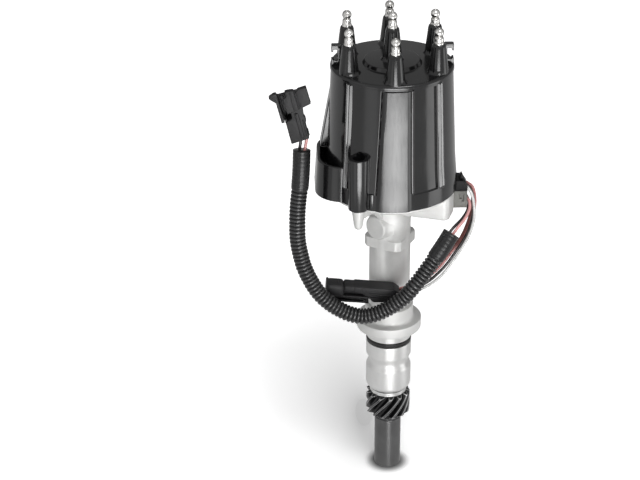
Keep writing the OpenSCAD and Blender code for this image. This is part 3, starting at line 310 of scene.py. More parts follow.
def sleeve_plastic():
    """Satin black plastic with dust in random patches. Its reflection is turned down in the valleys, a
    painted shade, and up on the crests, a painted highlight.
    """
    material, tree, place = new_material("sleeve_plastic")
    dust = noise(tree, place, 420, 6)
    # Painted shade and highlight: the crest value turns the reflection down in the valleys and up on the
    # crests.
    valley_shade_and_crest_highlight = put_node(tree, "Attribute", out="Fac", attribute_name="crest")
    return principled(material, {"Base Color": shades(tree, dust, 0.006, (0.020, 0.020, 0.021)),
        "Roughness": remap(tree, dust, 0.2, 0.36), "Specular IOR Level": remap(tree, valley_shade_and_crest_highlight, 0.02, 0.75),
        "Normal": relief(tree, dust, 0.25, 0.0002)})


sleeve_path, sleeve_run = smooth_path(sleeve_route, fold_pitch / folds_points)
sleeve_length = sleeve_run[-1]
fold = 0.5 + 0.5 * np.cos(2 * np.pi * sleeve_run / fold_pitch)
crest = np.sqrt(np.clip(1.5 * fold, 0, 1))
past_start = np.clip((sleeve_run - taped_start) / tape_edge, 0, 1)
before_end = np.clip((sleeve_length - taped_end - sleeve_run) / tape_edge, 0, 1)
folded = past_start * before_end
taped_radius = sleeve_d / 2 + tape_proud - tape_dent * (1 - crest)
folded_radius = sleeve_d / 2 + fold_proud - fold_depth * (1 - crest)
sleeve_radius = folded * folded_radius + (1 - folded) * taped_radius
loom = finished(tube("loom_sleeve", sleeve_path, sleeve_radius, sleeve_sides), sleeve_plastic(),
    "distributor", "loom_plastic", "harness_loom")
# Mask of painted shade in the valleys and painted highlight on the crests, stored as crest; the taped ends
# get one middle level.
painted_valley_shade_mask = folded * crest + (1 - folded) * tape_painted_shade_level
painted_valley_shade_layer = loom.data.attributes.new("crest", "FLOAT", "POINT")
painted_valley_shade_layer.data.foreach_set("value", np.repeat(painted_valley_shade_mask, sleeve_sides).astype(np.float32))


# The two coil wires: stranded copper in soft plastic, one pink and one nearly black. They leave
# the grey plug, dive into the sleeve and come out of it again just under the coil connector.
wire_d, wire_spacing, wire_sides = 0.0022, 0.0022, 14
coil_feeds = {
    "pink": [(55.3, 0, 105), (57.2, -3, 103.6), (57, -8, 99.6), (53.6, -13.8, 95), (48.8, -18.6, 91.2),
        (44.1, -22, 86.3)],
    "black": [(55.3, 5, 105), (57.2, 1, 101.6), (55.8, -5, 97), (51.4, -12, 93.6), (46, -18, 91),
        (41.9, -22, 87.7)]}
coil_tails = {
    "pink": [(-62.4, -25, 156.5), (-61.6, -25, 161), (-60.5, -25, 167.6)],
    "black": [(-66, -25, 156.5), (-65.4, -25, 161), (-64.9, -25, 166.5)]}
wire_colours = {"pink": (0.66, 0.32, 0.31), "rose": (0.47, 0.19, 0.18), "black": (0.014, 0.009, 0.009),
    "brown": (0.092, 0.020, 0.015), "white": (0.62, 0.62, 0.61)}


def wire_skin(skin_name):
    """Glossy wire insulation with faint smears of dirt along it."""
    colour = np.array(wire_colours[skin_name])
    material, tree, place = new_material("wire_skin_" + skin_name)
    smear = noise(tree, place, 160, 5)
    return principled(material, {"Base Color": shades(tree, smear, colour * 0.78, colour, 0.3, 0.7),
        "Roughness": remap(tree, smear, 0.22, 0.42), "Coat Weight": 0.25})


wire_skins = {skin_name: wire_skin(skin_name) for skin_name in wire_colours}


def wire(name, route, colour_name, skin_name, nodes_replaced):
    """A round wire along a smooth path, which ends in one of the two connectors."""
    path, run = smooth_path(route, wire_spacing)
    made = tube(name, path, np.full(len(path), wire_d / 2), wire_sides)
    finished(made, wire_skins[skin_name], "distributor", "wire_" + colour_name, *nodes_replaced)


for colour_name, aside in (("pink", 1.6), ("black", -1.6)):
    inside = [(x, y + aside, z) for x, y, z in sleeve_route[1:-1]]
    wire("coil_lead_" + colour_name, coil_feeds[colour_name] + inside + coil_tails[colour_name], colour_name,
        colour_name, ["coil_wire_" + colour_name, "coil_tail_" + colour_name])


# The four timing wires: they leave the black plug in a row, fan out in an open bundle to the
# right, and gather again behind the sleeve at the flat connector. The pink one is of a deeper rose.
timing_routes = {
    "white": [(55.3, -2.2, 114.6), (58.8, -2.8, 109), (60.7, -5, 99.5), (60.2, -8.4, 89),
        (56, -11.6, 77.5), (46.5, -15.4, 62.5), (36, -18.6, 49.6), (23, -22.8, 42.4), (6, -25.8, 39.6)],
    "black": [(55.3, 0.6, 114.6), (59.2, 0.2, 109), (60.7, -2, 99.5), (59.4, -5.4, 89.5),
        (55.6, -8.8, 79.5), (47.8, -12.4, 67.4), (38, -15.4, 54.6), (24, -20, 44.4), (6, -23.2, 39.6)],
    "brown": [(55.3, 3.4, 114.6), (59.4, 3.2, 108), (59.6, 0.6, 98), (56.8, -4, 87.6),
        (50.6, -9.8, 76), (42.2, -13.4, 67), (31.6, -16.4, 55.6), (19.6, -18.8, 45.4), (6, -20.6, 39.6)],
    "pink": [(55.3, 6.2, 114.6), (60.4, 6.4, 110), (62.3, 4.6, 100.5), (60.8, 0.4, 90.6),
        (56, -5, 80.6), (45.4, -10.6, 66.8), (33.6, -14.6, 53), (20.4, -16.6, 43.8), (6, -18, 39.6)]}
for colour_name, route in timing_routes.items():
    skin_name = "rose" if colour_name == "pink" else colour_name
    wire("timing_lead_" + colour_name, route, colour_name, skin_name,
        ["timing_wire_" + colour_name])


# The housing: one aluminium casting, blasted pale where it is left raw. The flange, the shoulder
# above it and the pilot are turned bright. Inside it carries the shaft's bushings.
flange_d, flange_t = 0.0482, 0.0078
shoulder_d, shoulder_h = 0.0358, 0.0112
shoulder_top = flange_t + shoulder_h
tube_r, pilot_r, nose_r = 0.0151, 0.0169, 0.010
pilot_len, nose_len = 0.050, 0.0035
seal_groove_top, seal_groove_w, seal_groove_r = -0.008, 0.0043, 0.0131
oil_groove_top, oil_groove_w, oil_groove_r = -0.023, 0.0108, 0.0143
collar_low, collar_t, collar_half_flats, collar_corner_r = 0.070, 0.0078, 0.0149, 0.0187
collar_high = collar_low + collar_t
seat_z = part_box("shaft_seal")[1].z + 0.0002
plate_r, plate_t, plate_rib = 0.0463, 0.0025, 0.003
shaft_hole_r = 0.0067
front_angle = math.radians(270)


def softened(outline, radius, steps=4, closed=False):
    """Rounds an outline's corners: each becomes the quadratic curve whose middle control point is the
    corner, begun and ended a radius away from it, or at the middle of a shorter side."""
    p = np.array(outline, float)
    here = p if closed else p[1:-1]
    before = np.roll(p, 1, axis=0) if closed else p[:-2]
    after = np.roll(p, -1, axis=0) if closed else p[2:]
    t = np.linspace(0, 1, steps + 1)[None, :, None]
    reach = np.broadcast_to(radius, len(here))[:, None]
    ends = []
    for other in (before, after):
        away = other - here
        length = np.linalg.norm(away, axis=1, keepdims=True)
        ends.append(here + away * np.minimum(reach / length, 0.49))
    curve = (1 - t)**2 * ends[0][:, None] + 2 * t * (1 - t) * here[:, None] + t**2 * ends[1][:, None]
    curve = curve.reshape(-1, 2)
    return curve if closed else np.vstack([p[:1], curve, p[-1:]])


def close_up(made, gap=1e-6):
    """Merges points that lie together, such as those on a pole or a seam, and turns all faces outwards."""
    work = bmesh.new()
    work.from_mesh(made.data)
    bmesh.ops.remove_doubles(work, verts=work.verts, dist=gap)
    bmesh.ops.dissolve_degenerate(work, edges=work.edges, dist=gap)
    bmesh.ops.recalc_face_normals(work, faces=work.faces)
    work.to_mesh(made.data)
    work.free()
    made.data.shade_smooth()
    return made


def polar(r, angle, z, at=(0, 0, 0)):
    """Points round an upright axis: (r cos a, r sin a, z), from arrays of any shapes that fit together."""
    x, y = at[0] + r * np.cos(angle), at[1] + r * np.sin(angle)
    return np.stack(np.broadcast_arrays(x, y, at[2] + z), axis=-1)


def stacked(angle, *parts):
    """Rows of a grid with a column for each angle. A part is a list with one value for a row, or rows."""
    parts = [np.array(part, float) for part in parts]
    return np.vstack([part[:, None] + 0 * angle if part.ndim == 1 else part for part in parts])


def spun(name, profile, sides, at=(0, 0, 0)):
    """Turns a profile of radii and heights round an upright axis."""
    return close_up(put_grid(name, polar(profile[:, :1], full_turn(sides), profile[:, 1:], at)))


def metal(name, colour, colour_low, rough, rough_high, grain_scale, grain_depth, ringed=False, inputs=()):
    """Bare metal: noise moves its colour and roughness between two shades and gives a fine bump. Where
    it is ringed, the noise is read on distance from the axis and height, so turning marks run round, and
    reflections are drawn out across them."""
    material, tree, place = new_material(name)
    more = {"Metallic": 1.0, **dict(inputs)}
    marks = place
    if ringed:
        height = put_node(tree, "SeparateXYZ", {0: place}, "Z")
        marks = put_node(tree, "CombineXYZ", {"X": from_axis(tree, place), "Z": height})
        along = put_node(tree, "Tangent", direction_type="RADIAL", axis="Z")
        more.update({"Tangent": along, "Anisotropic": 0.8, "Anisotropic Rotation": 0.25})
    grain = noise(tree, marks, grain_scale, 6)
    cloud = noise(tree, place, 55, 4)
    return principled(material, {"Base Color": shades(tree, cloud, colour_low, colour, 0.32, 0.68),
        "Roughness": remap(tree, grain, rough, rough_high), "Normal": relief(tree, grain, 0.6, grain_depth),
        **more})


raw_casting = metal("raw_casting", (0.68, 0.68, 0.67), (0.56, 0.56, 0.55), 0.5, 0.68, 1500, 0.00012,
    inputs={"Metallic": 0.5})
turned_aluminium = metal("turned_aluminium", (0.86, 0.86, 0.85), (0.80, 0.80, 0.79), 0.34, 0.44, 2600,
    0.000006, True)
faced_aluminium = metal("faced_aluminium", (0.76, 0.76, 0.75), (0.70, 0.70, 0.69), 0.62, 0.7, 2600, 0.000006)


def rounded_square(angle, half, turn):
    """Distance from the middle to the side of a square: its half width over the cosine of the angle
    from the nearest side's normal."""
    off = np.mod(angle - turn + np.pi / 4, np.pi / 2) - np.pi / 4
    return half / np.cos(off)


nose_z = -pilot_len - nose_len
oil_groove_low = oil_groove_top - oil_groove_w
seal_groove_low = seal_groove_top - seal_groove_w
turned_part = [(shaft_hole_r, nose_z), (nose_r, nose_z), (nose_r, nose_z + 0.0012),
    (pilot_r - 0.0022, nose_z + 0.0012), (pilot_r, nose_z + 0.0042), (pilot_r, oil_groove_low),
    (pilot_r - 0.0006, oil_groove_low + 0.0016), (oil_groove_r, oil_groove_top - oil_groove_w / 2),
    (pilot_r, oil_groove_top), (pilot_r, seal_groove_low), (seal_groove_r, seal_groove_low),
    (seal_groove_r, seal_groove_top), (pilot_r, seal_groove_top), (pilot_r, 0), (flange_d / 2, 0),
    (flange_d / 2, flange_t), (shoulder_d / 2 + 0.0014, flange_t), (shoulder_d / 2, flange_t + 0.0014),
    (shoulder_d / 2, shoulder_top), (tube_r + 0.0008, shoulder_top + 0.001)]
turned_soft = [0.0006, 0.0003, 0.0016, 0.0016, 0.0003, 0.0005, 0.003, 0.0004, 0.0003, 0.0006, 0.0006, 0.0003,
    0.0003, 0.0007, 0.0007, 0.0012, 0.0012, 0.0007]
pilot = finished(spun("housing_pilot", softened(turned_part, turned_soft), 160), turned_aluminium,
    "distributor", "cast_aluminium")
pilot.data.materials.append(faced_aluminium)
faced_from = -0.0002
face_middles = np.empty(3 * len(pilot.data.polygons))
pilot.data.polygons.foreach_get("center", face_middles)
pilot.data.polygons.foreach_set("material_index", (face_middles[2::3] > faced_from).astype(np.int32))

cast_part = [(tube_r + 0.0006, shoulder_top - 0.001), (tube_r + 0.0006, shoulder_top + 0.0012),
    (tube_r, shoulder_top + 0.004), (tube_r, collar_low), (tube_r, collar_high),
    (tube_r, seat_z - 0.014), (tube_r + 0.004, seat_z - plate_t - plate_rib),
    (plate_r - 0.006, seat_z - plate_t - plate_rib), (plate_r - 0.0006, seat_z - plate_t),
    (plate_r, seat_z - plate_t + 0.0006), (plate_r, seat_z), (shaft_hole_r, seat_z)]
cast_soft = [0.001, 0.002, 0.0001, 0.0001, 0.007, 0.004, 0.002, 0.0004, 0.0004, 0.0005]
cast_profile = softened(cast_part, cast_soft)
cast_turn = full_turn(360)

# The wrench collar on the tube is a square whose corners are turned to a circle and its rims eased.
collar_levels = np.array([0, 0.04, 0.1, 0.5, 0.9, 0.96, 1])
collar_rows = np.concatenate([[collar_low - 0.0004], collar_low + collar_t * collar_levels,
    [collar_high + 0.0004]])
collar_ease = np.array([0, 0.93, 0.985, 1, 1, 1, 0.985, 0.93, 0])[:, None]
square = rounded_square(cast_turn, collar_half_flats, front_angle + math.radians(-30))
square = np.minimum(square, collar_corner_r)
collar = tube_r + np.maximum(square - tube_r, 0) * collar_ease
below = cast_profile[cast_profile[:, 1] < collar_low - 0.0006]
above = cast_profile[cast_profile[:, 1] > collar_high + 0.0006]
cast_r = stacked(cast_turn, below[:, 0], collar, above[:, 0])
cast_z = np.concatenate([below[:, 1], collar_rows, above[:, 1]])[:, None]
body_casting = finished(close_up(put_grid("housing_casting", polar(cast_r, cast_turn, cast_z))), raw_casting,
    "distributor", "cast_aluminium")


# The cast head of the housing: the pocket for the ignition module, the webs and screw bosses that
# carry the cap, and the round pad on the tube. They belong to the same casting as the tube.
pocket_low, pocket_high = seat_z - 0.0205, seat_z - plate_t + 0.0002
pocket_outline = np.array([(8, -13), (38, -22.5), (41.4, -20.1), (42.4, -16.4), (44.6, -10), (45.6, -6.5),
    (45.6, 8.9), (44.7, 11), (41.4, 20), (8, 20)]) * mm
screw_turns = [math.radians(58.5), math.radians(238.5)]
screw_circle = 0.048
web_half_t = 0.002
web_outline = [(0.0133, -0.0024), (0.0133, -0.028), (0.0161, -0.022), (0.0241, -0.012), (0.043, -0.010),
    (0.043, -0.0024)]
quarter = math.pi / 2


def at_turn(turn, reach=1.0, up=0.0):
    """A point at a turn round the axis, a reach from it and a height."""
    return reach * math.cos(turn), reach * math.sin(turn), up


def laid(at, along, upwards, across):
    """Lays out columns (u, v, w): the point is at + u along + v upwards + w across."""
    axes = np.array([along, upwards, across], float)
    return lambda columns: np.array(at) + columns @ axes


def slab(name, outline, low, high, place, soft=0.0008, steps=3):
    """An outline given depth, its corners and rims rounded. Ring k of a rim is the outline drawn in by
    soft (1 - cos a) and moved by soft (1 - sin a) from the end, for a going from 0 to a quarter turn.
    Place turns the columns (u, v, w) into x, y and z."""
    outline = softened(outline, soft * 1.6, 4, closed=True)
    ahead = np.roll(outline, -1, axis=0) - np.roll(outline, 1, axis=0)
    out = unit(np.stack([ahead[:, 1], -ahead[:, 0]], axis=1))
    u, v = outline.T
    out = out * np.sign(np.sum(u * np.roll(v, -1) - v * np.roll(u, -1)))
    a = np.linspace(0, np.pi / 2, steps + 1)
    draw_in = np.concatenate([soft * (1 - np.sin(a)), soft * (1 - np.cos(a))])
    level = np.concatenate([low + soft * (1 - np.cos(a)), high - soft * (1 - np.sin(a))])
    rings = outline[None] - draw_in[:, None, None] * out[None]
    depth = np.broadcast_to(level[:, None, None], (*rings.shape[:2], 1))
    return close_up(put_grid(name, place(np.concatenate([rings, depth], axis=2)), capped=True))


def crisp(made, degrees=35):
    """Shades a piece smooth but keeps corners sharper than an angle crisp."""
    made.data.shade_smooth()
    sharp = bmesh.new()
    sharp.from_mesh(made.data)
    for edge in sharp.edges:
        edge.smooth = len(edge.link_faces) == 2 and edge.calc_face_angle(0) < math.radians(degrees)
    sharp.to_mesh(made.data)
    sharp.free()
    return made


def casting(made):
    """Finishes a piece of the raw casting."""
    finished(made, raw_casting, "distributor", "cast_aluminium")


from_above = laid((0, 0, 0), (1, 0, 0), (0, 1, 0), (0, 0, 1))
casting(crisp(slab("housing_pocket", pocket_outline, pocket_low, pocket_high, from_above, 0.0012)))
for number, turn in enumerate([screw_turns[0], math.radians(148), screw_turns[1]]):
    standing = laid((0, 0, seat_z), at_turn(turn), (0, 0, 1), at_turn(turn + quarter))
    casting(crisp(slab("housing_web_" + str(number), web_outline, -web_half_t, web_half_t, standing)))
tip_profile = softened([(0, -0.0162), (0.0013, -0.0160), (0.0026, -0.0150), (0.0032, -0.0130),
    (0.0049, -0.0006), (0.0049, 0), (0, 0)], 0.0004)
for number, turn in enumerate(screw_turns):
    tip_at = at_turn(turn, screw_circle, seat_z - 0.0001)
    casting(spun("housing_boss_" + str(number), tip_profile, 40, tip_at))

pad_turn = front_angle - math.pi / 4
pad_z, pad_r, pad_reach, pad_sides = collar_high + 0.009, 0.009, 0.0168, 64
pad_profile = softened([(pad_r + 0.0034, 0.0095), (pad_r + 0.0006, 0.0135), (pad_r, pad_reach),
    (0, pad_reach)], [0.003, 0.0016])
facing_out = laid((0, 0, pad_z), at_turn(pad_turn + quarter), (0, 0, 1), at_turn(pad_turn))
pad_points = facing_out(polar(pad_profile[:, :1], full_turn(pad_sides), pad_profile[:, 1:]))
casting(crisp(close_up(put_grid("housing_pad", pad_points, capped=True))))
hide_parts("housing")


# The seal ring that lies in the pilot's upper groove: moulded rubber with a round section. It seals
# the housing against the engine block.
seal_low, seal_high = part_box("seal_ring")
seal_half_t = (seal_high.z - seal_low.z) / 2
seal_turn = np.linspace(0, 2 * np.pi, 25)[:, None]
seal_profile = np.hstack([seal_high.x - seal_half_t + seal_half_t * np.cos(seal_turn),
    (seal_low.z + seal_high.z) / 2 + seal_half_t * np.sin(seal_turn)])


def soft_plastic(name, colour, colour_low, rough, rough_high, grain_scale, grain_depth, inputs=()):
    """Moulded plastic or rubber: noise moves its colour and roughness and gives it a fine moulded grain."""
    material, tree, place = new_material(name)
    grain = noise(tree, place, grain_scale, 5)
    cloud = noise(tree, place, 70, 5)
    return principled(material, {"Base Color": shades(tree, cloud, colour_low, colour, 0.35, 0.65),
        "Roughness": remap(tree, cloud, rough, rough_high), "Normal": relief(tree, grain, 0.5, grain_depth),
        **dict(inputs)})


seal_rubber = soft_plastic("seal_rubber", 0.012, 0.006, 0.42, 0.6, 900, 0.00002)
finished(spun("oil_seal_ring", seal_profile, 120), seal_rubber, "distributor", "seal_rubber", "seal_ring")


# The two thrust washers between the pilot and the gear: stamped from bright strip, so their rims are
# rounded over. The upper one stays with the housing and the lower one turns with the shaft.
washer_r, washer_hole_r = 0.0138, 0.0066
washer_bright = metal("washer_bright", (0.90, 0.90, 0.89), (0.84, 0.84, 0.83), 0.28, 0.34, 900, 0.000001,
    True)
for node, body in (("thrust_washer", "distributor"), ("shim_washer", "rotating")):
    low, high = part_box(node)
    edge = softened([(washer_hole_r, low.z), (washer_r, low.z), (washer_r, high.z), (washer_hole_r, high.z),
        (washer_hole_r, low.z)], [0.0004, 0.0004, 0.0002])
    finished(crisp(spun(node + "_ring", edge, 120)), washer_bright, body, "washer_steel", node)


# The drive gear: cast iron, hobbed with 13 right-hand helical teeth from a blank that was turned
# with a bevel at both ends. Oil black all over, with its tooth edges worn bright.
gear_low, gear_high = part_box("drive_gear")
gear_teeth, gear_helix = 13, math.radians(38)
gear_tip_r, gear_w = 0.0167, 0.0189
gear_face_low = gear_high.z - gear_w
gear_module = 2 * gear_tip_r / (gear_teeth / math.cos(gear_helix) + 2)
gear_pitch_r = gear_teeth * gear_module / math.cos(gear_helix) / 2
gear_root_r = gear_pitch_r - 1.2 * gear_module
gear_base_r = gear_pitch_r * math.cos(math.atan(math.tan(math.radians(20)) / math.cos(gear_helix)))
gear_hub_r, gear_hub_edge, gear_bore_r = 0.0096, 0.0005, 0.0064
gear_bevel, gear_end = 0.0016, 0.0020
gear_fillet, gear_tooth_share = 0.00015, 0.96


def involute(radius):
    """Angle that an involute of the base circle has turned by at a radius: tan p - p, where p is the
    pressure angle there, whose cosine is the base radius over the radius."""
    p = np.arccos(np.clip(gear_base_r / radius, -1, 1))
    return np.tan(p) - p


flank_r = np.linspace(gear_root_r + 0.0007, gear_tip_r, 9)
flank_turn = involute(gear_pitch_r) - involute(np.maximum(flank_r, gear_base_r))
flank_half = np.pi / 2 / gear_teeth * gear_tooth_share + flank_turn
root_half = flank_half[0] + np.radians([1.9, 0.9])
foot_r = np.array([gear_root_r, gear_root_r + gear_fillet])
tooth_r = np.concatenate([foot_r, flank_r, np.full(3, gear_tip_r), flank_r[::-1], foot_r[::-1]])
tooth_a = np.concatenate([-root_half, -flank_half, flank_half[-1] * np.array([-0.7, 0, 0.7]),
    flank_half[::-1], root_half[::-1]])
around_r = np.tile(tooth_r, gear_teeth)[None, :]
tooth_turns = np.repeat(np.arange(gear_teeth) * 2 * np.pi / gear_teeth, len(tooth_a))
around_a = (tooth_turns + np.tile(tooth_a, gear_teeth))[None, :]
rise = np.concatenate([np.linspace(0, gear_end, 8), np.linspace(gear_end, gear_w - gear_end, 26)[1:-1],
    np.linspace(gear_w - gear_end, gear_w, 8)])
from_end = np.minimum(rise, gear_w - rise)[:, None]
blank_r = gear_root_r + 0.0004 + (gear_tip_r + 0.0002 - gear_root_r) * np.clip(from_end / gear_bevel, 0, 1)
hub_r = [gear_bore_r, gear_hub_r - gear_hub_edge, gear_hub_r, gear_hub_r]
hub_z = [gear_low.z, gear_low.z, gear_low.z + gear_hub_edge, gear_face_low]
gear_r = stacked(around_a, hub_r, np.minimum(around_r, blank_r), [gear_bore_r])
gear_z = np.concatenate([hub_z, gear_face_low + rise, [gear_high.z]])[:, None]
gear_rise = np.concatenate([[0, 0, 0, 0], rise, rise[-1:]])[:, None]
gear_a = around_a + gear_rise * math.tan(gear_helix) / gear_pitch_r
gear = crisp(close_up(put_grid("helical_gear", polar(gear_r, gear_a, gear_z))), 28)


def worn_iron():
    """Oil-blackened iron. Where the surface turns sharply outwards, as on tooth edges, the black wears off
    and bare metal shows, broken up by noise. The outermost 2 mm are lighter as well, so the roots between the
    teeth stay darkest."""
    material, tree, place = new_material("worn_iron")
    grain = noise(tree, place, 900, 6)
    pointed = put_node(tree, "NewGeometry", out="Pointiness")
    edge = remap(tree, pointed, 0, 1.8, 0.515, 0.57, clamp=False)
    patchy = put_node(tree, "Math", {0: edge, 1: grain}, operation="MULTIPLY")
    # Lighter towards the outermost 2 mm, darkest at the tooth roots.
    outer_tone = remap(tree, from_axis(tree, place), 0, 0.16, gear_tip_r - 0.0022, gear_tip_r)
    worn = put_node(tree, "Math", {0: patchy, 1: outer_tone}, operation="ADD", use_clamp=True)
    return principled(material, {"Base Color": shades(tree, worn, (0.035, 0.035, 0.036), 0.85),
        "Metallic": 0.9, "Roughness": remap(tree, grain, 0.22, 0.4),
        "Normal": relief(tree, grain, 0.3, 0.00004)})


finished(gear, worn_iron(), "rotating", "gear_iron", "drive_gear")


# The drive sleeve: a turned steel tube, oiled dark, pinned to the shaft's end. Its lower end has a
# hexagonal socket for the oil pump's shaft. The pins are driven in and dressed off.
tail_r, tail_hole_r, tail_edge, tail_sides = 0.010, 0.0064, 0.0008, 120
socket_half, socket_mouth_r, socket_deep, socket_edge = 0.0045, 0.0062, 0.012, 0.0004
tail_low, tail_high = sleeve_low.z, sleeve_high.z
tail_turn = full_turn(tail_sides)
hexagon = socket_half / np.cos(np.mod(tail_turn, np.pi / 3) - np.pi / 6)
tail_outer = softened([(socket_mouth_r, tail_low), (tail_r - tail_edge, tail_low),
    (tail_r, tail_low + tail_edge), (tail_r, tail_high - tail_edge), (tail_r - tail_edge, tail_high),
    (tail_hole_r, tail_high)], 0.0003)
tail_radii = stacked(tail_turn, [0], hexagon, hexagon, tail_outer[:, 0])
socket_end = tail_low + socket_deep
tail_z = np.concatenate([[socket_end, socket_end, tail_low + socket_edge], tail_outer[:, 1]])[:, None]
tail = crisp(close_up(put_grid("tail_sleeve", polar(tail_radii, tail_turn, tail_z))))
oiled_steel = metal("oiled_steel", 0.17, 0.13, 0.26, 0.36, 1900, 0.000006, True)
finished(tail, oiled_steel, "rotating", "sleeve_steel", "drive_sleeve")

pin_steel = metal("pin_steel", 0.42, 0.30, 0.25, 0.4, 2400, 0.00002)
pin_proud, pin_sides = 0.00012, 32
for node, outer_r in (("gear_pin", gear_hub_r), ("sleeve_pin", tail_r)):
    low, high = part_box(node)
    pin_r, pin_z = (high.z - low.z) / 2, (high.z + low.z) / 2
    reach = outer_r + pin_proud
    pin_profile = softened([(0, -reach), (pin_r - 0.0003, -reach + 0.0001), (pin_r, -reach + 0.0006),
        (pin_r, reach - 0.0006), (pin_r - 0.0003, reach - 0.0001), (0, reach)], 0.0002)
    lying = laid((0, 0, pin_z), (0, 1, 0), (0, 0, 1), (1, 0, 0))
    pin_points = lying(polar(pin_profile[:, :1], full_turn(pin_sides), pin_profile[:, 1:]))
    finished(close_up(put_grid(node + "_dressed", pin_points)), pin_steel, "rotating", "shaft_steel", node)


# The cap: one glossy black moulding. Its tapered barrel has a flared skirt, a broad bevelled strip at
# the front and the back, double-beaded ribs, a bare sunk panel, and a quarter round at the deck.
rim_z = seat_z
cap_h = 0.0945
deck_z = rim_z + cap_h
cap_wall, deck_t, deck_edge = 0.003, 0.004, 0.002
lip_h, lip_proud = 0.0034, 0.0006
disc_r, disc_h = 0.0195, 0.0027
barrel_h = [0, 0.008, 0.026, cap_h - deck_edge]
barrel_r = [0.0478, 0.0476, 0.046, 0.0431]
middle_r = 0.044
strip_centres = [front_angle + math.radians(0.25), front_angle + math.radians(180.25)]
strip_half, strip_bevel, strip_proud = math.radians(14.25), math.radians(3.4), 0.0011
strip_lean = 0.00185 / middle_r
groove_w, groove_depth = 0.0004, 0.0013
rib_angles = [math.radians(a) for a in (45, 135, 224, 317.5)]
rib_half_w = 0.0023
panel_from, panel_to, panel_depth = math.radians(287), math.radians(312), 0.0014
bead_angle, bead_half_w, bead_proud = math.radians(285.8), 0.0012, 0.0009
low_feature_h = 0.012
boss_h, counterbore_r = 0.0396, 0.0042
window_from, window_to, window_h = -0.0066, 0.0089, 0.0051


def smooth_step(x):
    """0 below 0, 1 above 1, and 3x^2 - 2x^3 between them."""
    x = np.clip(x, 0, 1)
    return x * x * (3 - 2 * x)


def turned_by(angle, centre):
    """How far an angle lies from a centre, between minus half a turn and half a turn."""
    return np.mod(angle - centre + np.pi, 2 * np.pi) - np.pi


def barrel_radius(h):
    """Radius of the plain barrel at a height: straight tapers with the two bends eased by averaging the
    profile over 3 mm either way."""
    near = np.linspace(-0.003, 0.003, 9)
    return np.mean([np.interp(h + step, barrel_h, barrel_r) for step in near], axis=0)


def from_low(h, start, soft):
    """0 under a height and 1 over it, eased over a soft length."""
    return smooth_step((h - start) / soft)


def under_lip(h, gap):
    """1 up to a gap under the lip of the deck and 0 nearer to it, eased over 0.6 mm."""
    return smooth_step((cap_h - lip_h - gap - h) / 0.0006)


def barrel_surface(angle, h):
    """Radius of the moulded barrel at an angle and a height: the plain barrel plus its strips, ribs,
    bead and lip, less the sunk panel, fine bell-shaped grooves and the two screwdriver niches. Each
    strip's left edge leans in evenly from the rim to the deck, with a groove at its foot."""
    plain = barrel_radius(h)
    r = plain + 0 * angle
    for centre in strip_centres:
        off = turned_by(angle, centre)
        half = strip_half + np.where(off < 0, strip_lean * (1 - 2 * h / cap_h), 0)
        below_lip = under_lip(h, 0.0008)
        r = r + strip_proud * np.clip((half - np.abs(off)) / strip_bevel, 0, 1) * below_lip
        foot = ((off + half) * plain + 0.0003) / groove_w
        r = r - groove_depth * np.exp(-foot**2) * from_low(h, low_feature_h, 0.0012) * below_lip
    for centre in rib_angles:
        across = turned_by(angle, centre) * plain / rib_half_w
        twin_bead = np.sin(np.pi * np.clip(across, -1, 1))**2
        side_grooves = 0.5 * np.exp(-((np.abs(across) - 1.12) / 0.13)**2)
        ends = from_low(h, low_feature_h - 0.001, 0.002) * under_lip(h, 0.0004)
        r = r + strip_proud * (twin_bead - side_grooves) * ends
    across = turned_by(angle, bead_angle) * plain / bead_half_w
    ends = from_low(h, low_feature_h, 0.002) * under_lip(h, 0.0004)
    r = r + bead_proud * np.sqrt(np.clip(1 - across**2, 0, 1)) * ends
    off = turned_by(angle, (panel_from + panel_to) / 2)
    sunk = smooth_step(((panel_to - panel_from) / 2 - np.abs(off)) / 0.009)
    sunk = sunk * from_low(h, low_feature_h, 0.0006) * under_lip(h, 0.0012)
    r = r - panel_depth * sunk + lip_proud * from_low(h, cap_h - lip_h, 0.0004)
    for turn in screw_turns:
        off = turned_by(angle, turn)
        aside = np.where(np.abs(off) < 1, screw_circle * np.sin(off), 1.0)
        above = np.clip(h - boss_h, 0, None)
        room = counterbore_r**2 - above**2 - aside**2
        niche = screw_circle * np.cos(off) - np.sqrt(np.clip(room, 0, None))
        r = np.where((room > 0) & (h > boss_h - 0.012), np.minimum(r, niche), r)
    return r


edges = [c + s * (strip_half - b) for c in strip_centres for s in (-1, 1) for b in (0, strip_bevel)]
edges += [c - strip_half - 0.007 for c in strip_centres] + [panel_from, panel_to]
window_angles = [math.asin(edge / barrel_r[0]) for edge in (window_from, window_to)]
even_angles = np.arange(0, 360, 1.25) * math.pi / 180
cap_angles = [even_angles, bead_angle + np.linspace(-1, 1, 13) * 0.0014 / middle_r]
for middles, reach, count in ((edges, math.radians(0.9), 15),
        ([c - strip_half for c in strip_centres], math.radians(3.3), 41),
        (rib_angles, rib_half_w * 1.5 / middle_r, 41), (screw_turns, 0.1, 41), (window_angles, 0.002, 5)):
    cap_angles += [middle + np.linspace(-1, 1, count) * reach for middle in middles]
cap_angles = np.unique(np.round(np.mod(np.concatenate(cap_angles), 2 * np.pi), 5))
cap_angles = cap_angles[np.concatenate([[True], np.diff(cap_angles) > 0.0009])][None, :]
from_right = turned_by(cap_angles, 0)
sill = np.where((from_right > window_angles[0]) & (from_right < window_angles[1]), window_h, 0.0)

